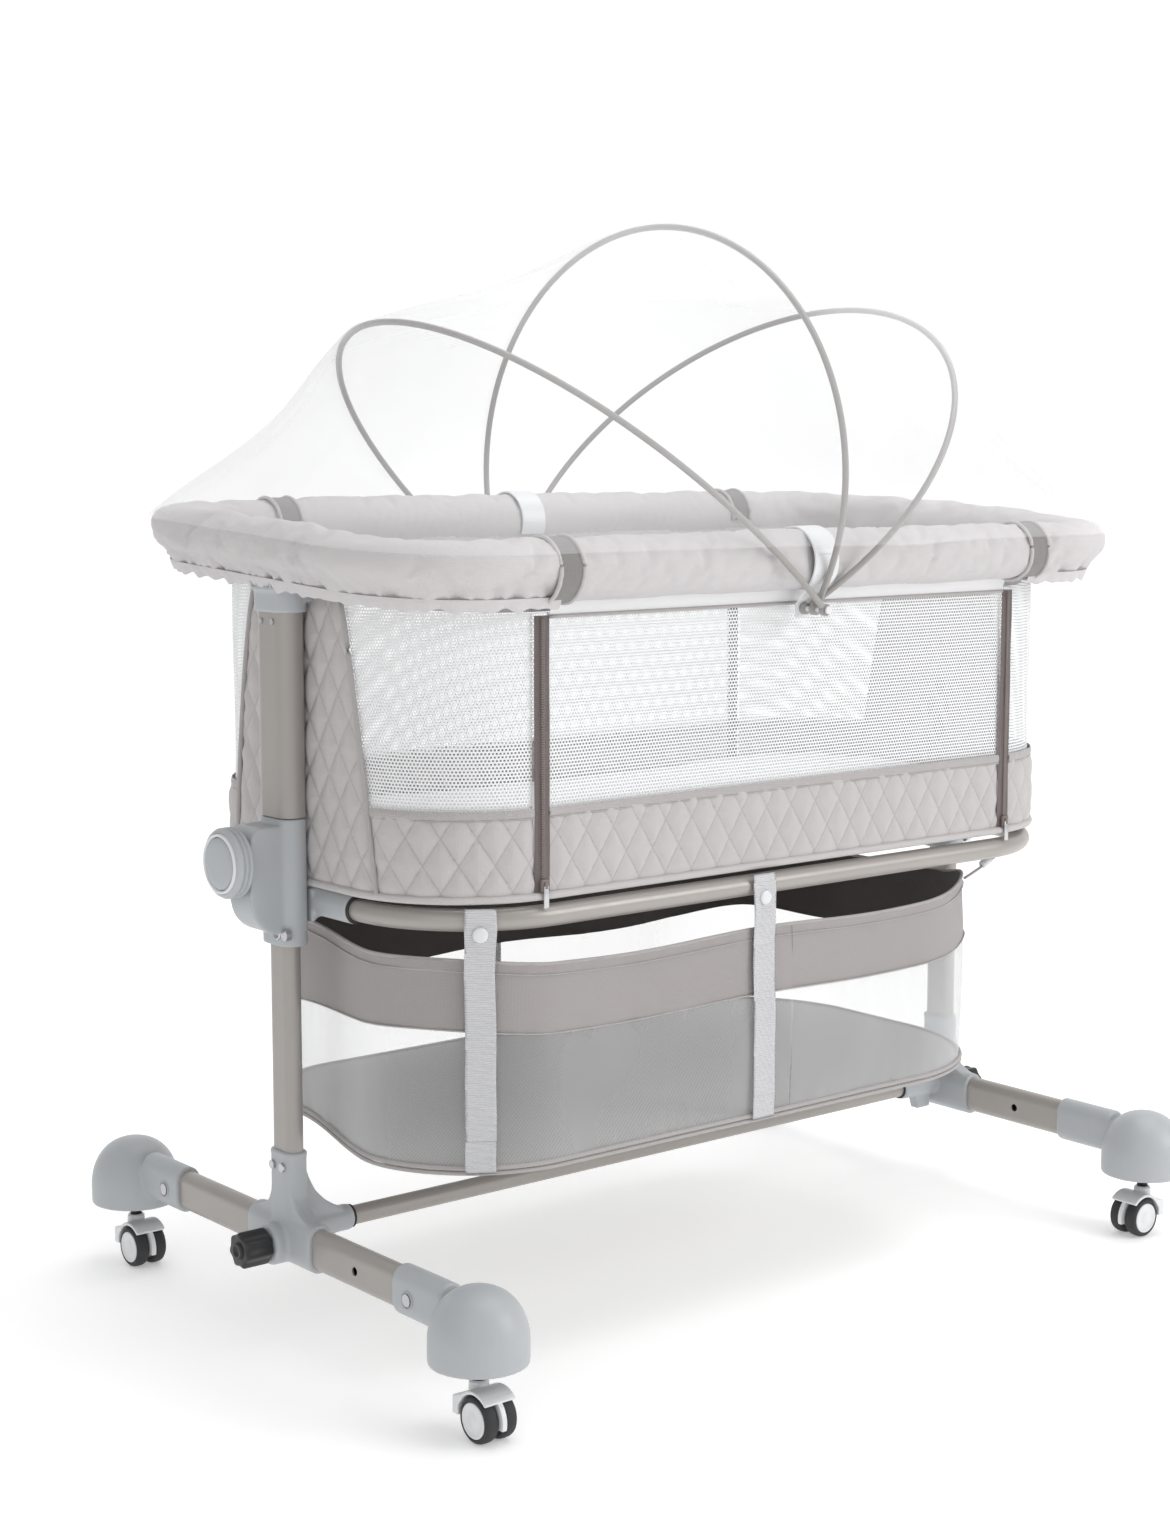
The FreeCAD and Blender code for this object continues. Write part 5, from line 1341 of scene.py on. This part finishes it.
bands, band_cords = bmesh.new(), bmesh.new()
for middle in (band_at, -band_at, rail_total / 2 - band_at, rail_total / 2 + band_at):
    def band_spot(u, v):
        distance = middle + 0.024 * (u - 0.5)
        angle = math.radians(-112 + 300 * v)
        radius = roll_radius + 0.0006 + 0.0006 * noise.noise(Vector((distance * 120, angle * 3,
                                                                     middle)))
        return rail_spot(distance, angle, radius), (distance, angle * roll_radius)
    patch(bands, 8, 64, band_spot)
    for edge in (-0.0125, 0.0125):
        cord = [rail_spot(middle + edge + 0.0008 * noise.noise(Vector((step * 0.4, middle, 0))),
                          math.radians(-112 + 300 * step / 60), roll_radius + 0.0008)
                for step in range(61)]
        piping(band_cords, cord, 0.0019)
band_piece = new_piece("rail_bands", bands, band_cloth, "bassinet")
new_piece("rail_band_cords", band_cords, binding_cloth, "bassinet")

skirt = bmesh.new()


def skirt_spot(u, v):
    distance = wall_total * u
    top = rail_z + wall_walk(distance)[0].y * rail_tilt - 0.012
    z = top + (wall_top(distance) - top) * v
    return (wall_spot(distance, z, -0.0075 - 0.004 * v
                      + 0.001 * noise.noise(Vector((distance * 30, z * 12, 0)))),
            (distance, z))


patch(skirt, 420, 8, skirt_spot)
skirt_piece = new_piece("rail_skirt", skirt, rail_cloth, "bassinet")


# ---- Hoops and clips ------------------------------------------------------------------
# Three sprung wires in grey piping swing on a pin at the middle of each side. The pins
# hang under white clips that snap round the padded rail.

hoop_sleeve = skinned("hoop_sleeve", (0.34, 0.325, 0.315), 0.38, 0.12, 1200.0, 0.00004,
                      Coat_Weight=0.2)
repaint(hoop_sleeve, "hoop_left", "hoop_middle", "hoop_right")

pivot_z = 0.664
clips = bmesh.new()
for end in (-1, 1):
    centre_y, centre_z = rail_half_width, rail_z + rail_half_width * end * rail_tilt
    outer_arc, inner_arc = [], []
    for step in range(41):
        angle = math.radians(205 - 255 * step / 40)
        for arc, radius in ((outer_arc, 0.0312), (inner_arc, 0.0290)):
            arc.append((centre_y + radius * math.cos(angle), centre_z + radius * math.sin(angle)))
    outer_arc += [(0.2172, pivot_z + 0.004), (0.2172, pivot_z - 0.008)]
    inner_arc += [(0.2142, pivot_z + 0.003), (0.2142, pivot_z - 0.008)]
    half = bmesh.new()
    slab(half, "X", -0.015, 0.015, [(y * end, z) for y, z in outer_arc + inner_arc[::-1]])
    for vert in half.verts:
        fall = ramp(vert.co.z, pivot_z + 0.003, centre_z - 0.012)
        vert.co.x *= 0.55 + 0.45 * fall
    corners = [edge for edge in half.edges if abs(edge.verts[0].co.x - edge.verts[1].co.x) < 0.002]
    bevelled(half, corners, 0.0008)
    for at in (12, -24):
        angle = math.radians(at)
        ridge = Vector((0, (centre_y + 0.0313 * math.cos(angle)) * end,
                        centre_z + 0.0313 * math.sin(angle)))
        bmesh.ops.create_cube(half, size=1, matrix=Matrix.Translation(ridge)
                              @ Matrix.Rotation(angle * -end, 4, "X")
                              @ Matrix.Diagonal((0.021, 0.0012, 0.0016, 1)))
    lathe(half, [(0.2110, 0), (0.2110, 0.0022), (0.2490, 0.0022), (0.2494, 0.0036),
                 (0.2512, 0.0036), (0.2516, 0.0028), (0.2516, 0)], (0, 0, pivot_z),
          (0, end, 0), 24)
    poured_into(clips, half)
new_piece("rail_clips", clips, pale_plastic, "bassinet", ["net_clips"],
          smooth=False)


# ---- Net ------------------------------------------------------------------------------
# A very sheer white net, sewn to the hoops and hemmed round the outside of the rail. Each
# half has a part between the hoops and a part that falls from the hoop to the rail.

net_cloth, net_shader, net_tree = principled("net_cloth", (0.92, 0.93, 0.94), 0.7,
                                             Sheen_Weight=0.2)
net_facing = net_tree.nodes.new("ShaderNodeLayerWeight")
net_facing.inputs["Blend"].default_value = 0.35
net_place = net_tree.nodes.new("ShaderNodeTexCoord").outputs["UV"]
net_patchy = node_after(net_tree, "ShaderNodeTexNoise", Vector=net_place, Scale=5.0, Detail=3.0)
net_edge = math_step(net_tree, "POWER", net_facing.outputs["Facing"], 2.0)
net_alpha = math_step(net_tree, "MULTIPLY_ADD", net_edge, 0.38, 0.12)
net_alpha = math_step(net_tree, "MULTIPLY_ADD", net_patchy.outputs["Fac"], 0.06, net_alpha)
net_tree.links.new(net_alpha, net_shader.inputs["Alpha"])

HOOPS = {"left": (-50.7, 0.2455, 0.0705, 0.339), "middle": (0.0, 0.2325, 0.121, 0.238),
         "right": (41.8, 0.2195, 0.1448, 0.241)}
NET_COLUMNS, NET_ROWS = 120, 36
# The net lies this far outside its hoops.
NET_OFFSET = 0.0042


def net_hem_z(y):
    return rail_z + y * rail_tilt + 0.017


def hoop_width(name):
    _, eye_y, centre, half_height = HOOPS[name]
    return eye_y / math.sqrt(1 - (centre / half_height) ** 2)


def hoop_feet(name):
    lean = math.radians(HOOPS[name][0])
    return [(net_hem_z(hoop_width(name) * end) - pivot_z) / math.cos(lean) for end in (-1, 1)]


def hoop_spot(name, share):
    """A place on the net along a hoop, from its front foot to its back foot."""
    lean, _, centre, half_height = HOOPS[name]
    first, last = [math.asin((foot - centre) / (half_height + NET_OFFSET))
                   for foot in hoop_feet(name)]
    angle = first + (math.pi - last - first) * share
    rise = centre + (half_height + NET_OFFSET) * math.sin(angle)
    return Vector((rise * math.sin(math.radians(lean)),
                   -(hoop_width(name) + NET_OFFSET) * math.cos(angle),
                   pivot_z + rise * math.cos(math.radians(lean))))


def hem_spot(name, side, share):
    """A place on the net's hem round one end of the rail, from front to back."""
    feet = hoop_feet(name)
    foot_x = sum(feet) / 2 * abs(math.sin(math.radians(HOOPS[name][0])))
    reach = roll_radius + 0.0055
    begin, end = foot_x, rail_total / 2 - foot_x
    spot, outward = rail_walk(begin + (end - begin) * share)
    spot = spot + outward * reach
    bow = hoop_width(name) + NET_OFFSET - rail_half_width - reach
    y = spot.y + math.copysign(bow * math.exp(-((spot.x - foot_x) / 0.09) ** 2), spot.y)
    return Vector((spot.x * side, y, net_hem_z(y)))


def net_patch(low_line, high_line, sag, seed):
    bm = bmesh.new()

    def spot(u, v):
        low, high = low_line(u), high_line(u)
        place = low.lerp(high, v)
        inward = (Vector((0, 0, rail_z - 0.02)) - place).normalized()
        dip = sag * math.sin(math.pi * v) ** 2 * math.sin(math.pi * u) ** 0.5
        ripple = 0.0022 * noise.noise(Vector((u * 26, v * 2.2, seed))) * math.sin(math.pi * v)
        return place + inward * (dip + ripple), (u * 0.9, v * (high - low).length)
    patch(bm, NET_COLUMNS, NET_ROWS, spot)
    return bm


for side_name, side in SIDES.items():
    outer = net_patch(lambda u: hem_spot(side_name, side, u),
                      lambda u: hoop_spot(side_name, u), 0.015, 1.0 + side)
    fall = new_piece("net_fall_" + side_name, outer, net_cloth, "hoop_" + side_name,
                     ["net_" + side_name])
    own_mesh(fall)
    inner = net_patch(lambda u: hoop_spot(side_name, u),
                      lambda u: hoop_spot("middle", u), 0.010, 5.0 + side)
    canopy = new_piece("net_canopy_" + side_name, inner, net_cloth, None)
    reach = 0.28
    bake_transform(canopy)


# ---- Storage basket -------------------------------------------------------------------
# An open basket slung under the ring: a stiff floor covered in coarse mesh, sheer walls,
# a band of the wall cloth round the top with a near-black lining, its darkness partly
# painted shade inside the band, four webbing straps, and an elastic tie with a toggle at
# each right-hand corner.

floor_low, floor_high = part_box("storage_floor")
bin_plan, bin_total = rounded_plan(-0.407, 0.330, 0.207, 0.129, 0.155)


def bin_walk(distance):
    """The plan, with the slack left end drawn in towards the back."""
    spot, outward = bin_plan(distance)
    drawn = 0.045 * ramp(spot.y, -0.12, 0.10) * ramp(-spot.x, 0.20, 0.38)
    return spot + Vector((drawn, 0)), outward




def bin_top(distance):
    """The top edge sags a little between the straps and lifts to the corner ties."""
    spot = bin_walk(distance)[0]
    sag = 0.002 * math.cos(math.tau * (spot.x + 0.04) / 0.302)
    tied = 0.011 * math.exp(-((spot.x - 0.288) / 0.06) ** 2
                            - ((abs(spot.y) - 0.165) / 0.06) ** 2)
    left = 0.008 * ramp(-spot.x, 0.28, 0.40)
    return 0.365 + sag + tied + left


def bin_hem(distance):
    """The band is deeper along the back than along the front."""
    return bin_top(distance) - 0.062 - 0.018 * ramp(bin_walk(distance)[0].y, -0.16, 0.16)


def bin_spot(distance, z, out=0.0):
    spot, outward = bin_walk(distance)
    height = (z - floor_low.z) / 0.18
    bow = 0.0045 * math.sin(math.pi * min(max(height, 0), 1)) \
        * math.sin(math.tau * (spot.x + 0.10) / 0.302)
    spot = spot + outward * (out + bow * 0.6)
    return Vector((spot.x, spot.y, z))


def bin_patch(low, high, columns, rows, out, crease):
    bm = bmesh.new()

    def spot(u, v):
        distance = bin_total * u
        z = low(distance) + (high(distance) - low(distance)) * v
        fold = crease * (noise.noise(Vector((distance * 16, z * 12, 3.0)))
                         + 0.6 * noise.noise(Vector((distance * 70, z * 30, 5.0)))
                         * (math.exp(-v / 0.12) + math.exp((v - 1) / 0.12)))
        return bin_spot(distance, z, out + fold), (distance, z)
    patch(bm, columns, rows, spot)
    return bm


bin_cloth, *_ = woven("bin_cloth", (0.37, 0.345, 0.34), 800.0, 0.08, 0.00015)
# Painted shade: the lining's near-black colour stands partly for a dark lining cloth and partly
# for the shade inside the band.
lining_with_painted_shade, *_ = woven("lining_with_painted_shade", (0.075, 0.062, 0.06), 800.0, 0.15, 0.0002)
sheer_cloth, sheer_shader, sheer_tree = principled("sheer_cloth", (0.86, 0.87, 0.88), 0.7)
sheer_facing = sheer_tree.nodes.new("ShaderNodeLayerWeight")
sheer_facing.inputs["Blend"].default_value = 0.3
sheer_alpha = math_step(sheer_tree, "MULTIPLY_ADD", sheer_facing.outputs["Facing"], 0.45, 0.20)
sheer_tree.links.new(sheer_alpha, sheer_shader.inputs["Alpha"])

band = new_piece("bin_band", bin_patch(bin_hem, bin_top, 620, 18, 0.0, 0.0012), bin_cloth,
                 "bassinet", ["storage_wall"])
# A near-black sheet just inside the band: a lining whose colour is partly painted shade.
lining = new_piece("bin_lining_with_painted_shade", bin_patch(bin_hem, bin_top, 620, 14, -0.0022, 0.0012),
                   lining_with_painted_shade, "bassinet")
sheer_shape = bin_patch(lambda d: floor_high.z - 0.002, lambda d: bin_hem(d) + 0.001, 420, 22,
                        -0.001, 0.0016)
sheer = new_piece("bin_sheer", sheer_shape, sheer_cloth, "bassinet")

edges = bmesh.new()
for line, rise, out, radius in ((bin_top, 0.0, -0.001, 0.0017), (bin_top, -0.0095, 0.0006, 0.0006),
                                (bin_hem, 0.0005, 0.0006, 0.0008)):
    piping(edges, [bin_spot(bin_total * step / 400, line(bin_total * step / 400) + rise, out)
                   for step in range(400)], radius, sides=6, closed=True)
new_piece("bin_edges", edges, piping_cloth, "bassinet")

base = flat_pad(bin_walk, bin_total, 0.002, floor_low.z, floor_high.z, 0.002, 0.003, 2)
box_uv(base)
base_cloth, base_shader, base_tree, base_weave = woven("base_cloth", (0.50, 0.485, 0.475),
                                                       700.0, 0.06, 0.0002)
base_place = uv_axes(base_tree)
base_waves = [math_step(base_tree, "MULTIPLY", base_place[direction], math.pi / pitch)
              for direction, pitch in (("X", 0.0046), ("Y", 0.0040))]
base_dot = math_step(base_tree, "MULTIPLY", *[
    math_step(base_tree, "SINE", math_step(base_tree, kind, *base_waves))
    for kind in ("ADD", "SUBTRACT")])
base_hole = math_step(base_tree, "GREATER_THAN", math_step(base_tree, "ABSOLUTE", base_dot),
                      0.42)
base_value = math_step(base_tree, "MULTIPLY_ADD", base_hole, -0.42, 1.12)
base_tint = node_after(base_tree, "ShaderNodeHueSaturation",
                       Color=base_weave.outputs["Color"], Value=base_value)
base_tree.links.new(base_tint.outputs["Color"], base_shader.inputs["Base Color"])
new_piece("bin_base", base, base_cloth, "bassinet", ["storage_floor"])
base_cord = bmesh.new()
for rise, radius in ((0.0052, 0.0022), (0.0006, 0.0020)):
    piping(base_cord, [bin_spot(bin_total * step / 300, floor_low.z + rise, 0.0004)
                       for step in range(300)], radius, closed=True)
new_piece("bin_base_cord", base_cord, piping_cloth, "bassinet")

webbing, webbing_shader, webbing_tree, _ = woven("webbing", (0.72, 0.72, 0.74), 500.0, 0.05,
                                                 0.0002)
web_rib = math_step(webbing_tree, "SINE", math_step(
    webbing_tree, "MULTIPLY", uv_axes(webbing_tree)["Y"], math.tau / 0.0021))
bump_into(webbing_tree, webbing_shader, web_rib, 0.0005)
strap_low, strap_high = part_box("storage_straps")
straps, snaps = bmesh.new(), bmesh.new()
swing = math.radians(33)
ring_corner_x, ring_corner_y, ring_corner = -0.282, 0.08, 0.12
strap_spots = [(Vector((-0.040, 0.200 * end)), Vector((0, end))) for end in (-1, 1)]
strap_spots += [(Vector((ring_corner_x - ring_corner * math.sin(swing),
                         (ring_corner_y + ring_corner * math.cos(swing)) * end)),
                 Vector((-math.sin(swing), math.cos(swing) * end))) for end in (-1, 1)]
for centre, outward in strap_spots:
    along = Vector((-outward.y, outward.x))
    seed = centre.x * 7 + centre.y
    slack = 0.045 if centre.x < -0.2 and centre.y > 0 else 0

    def strap_spot(u, v, lift=0.0):
        z = strap_low.z + 0.002 + (strap_high.z - strap_low.z - 0.004) * v
        wander = 0.0022 * noise.noise(Vector((z * 14, seed, 0)))
        width = 0.0270 * (1 + 0.06 * math.exp(-((v - 0.93) / 0.05) ** 2))
        out = 0.0122 + lift + 0.0012 * noise.noise(Vector((z * 22, seed, 4)))
        spot = centre + outward * out + along * ((0.5 - u) * width + wander)
        drawn = slack * (1 - ramp(z, 0.35, 0.40))
        return Vector((spot.x + drawn, spot.y, z)), ((u - 0.5) * width, z)
    front = bmesh.new()
    patch(front, 10, 90, strap_spot)
    bmesh.ops.solidify(front, geom=front.faces[:], thickness=-0.0012)
    poured_into(straps, front)
    button = centre + outward * 0.0126
    lathe(snaps, [(0.0, 0), (0.0, 0.0070), (0.0014, 0.0066), (0.0022, 0.0052), (0.0024, 0.0020),
                  (0.0024, 0)], (button.x, button.y, strap_high.z - 0.024),
          (outward.x, outward.y, 0), 32)
strap_piece = new_piece("webbing_straps", straps, webbing, "bassinet",
                        ["storage_straps"])
new_piece("strap_snaps", snaps, ring_white, "bassinet")

ties, toggles = bmesh.new(), bmesh.new()
for end in (-1, 1):
    rim = Vector((0.286, 0.163 * end, 0.372))
    hook = Vector((0.355, 0.165 * end, 0.403))
    run = hook - rim
    piping(ties, [rim + run * (step / 12) + Vector((0, 0, -0.002 * math.sin(math.pi * step / 12)))
                  for step in range(13)], 0.0014, sides=8)
    lathe(toggles, [(-0.007, 0), (-0.007, 0.0030), (-0.0058, 0.0041), (0.0058, 0.0041),
                    (0.007, 0.0030), (0.007, 0)], rim + run * 0.45, run, 20)
new_piece("corner_ties", ties, piping_cloth, "bassinet")
new_piece("tie_toggles", toggles, ring_white, "bassinet")
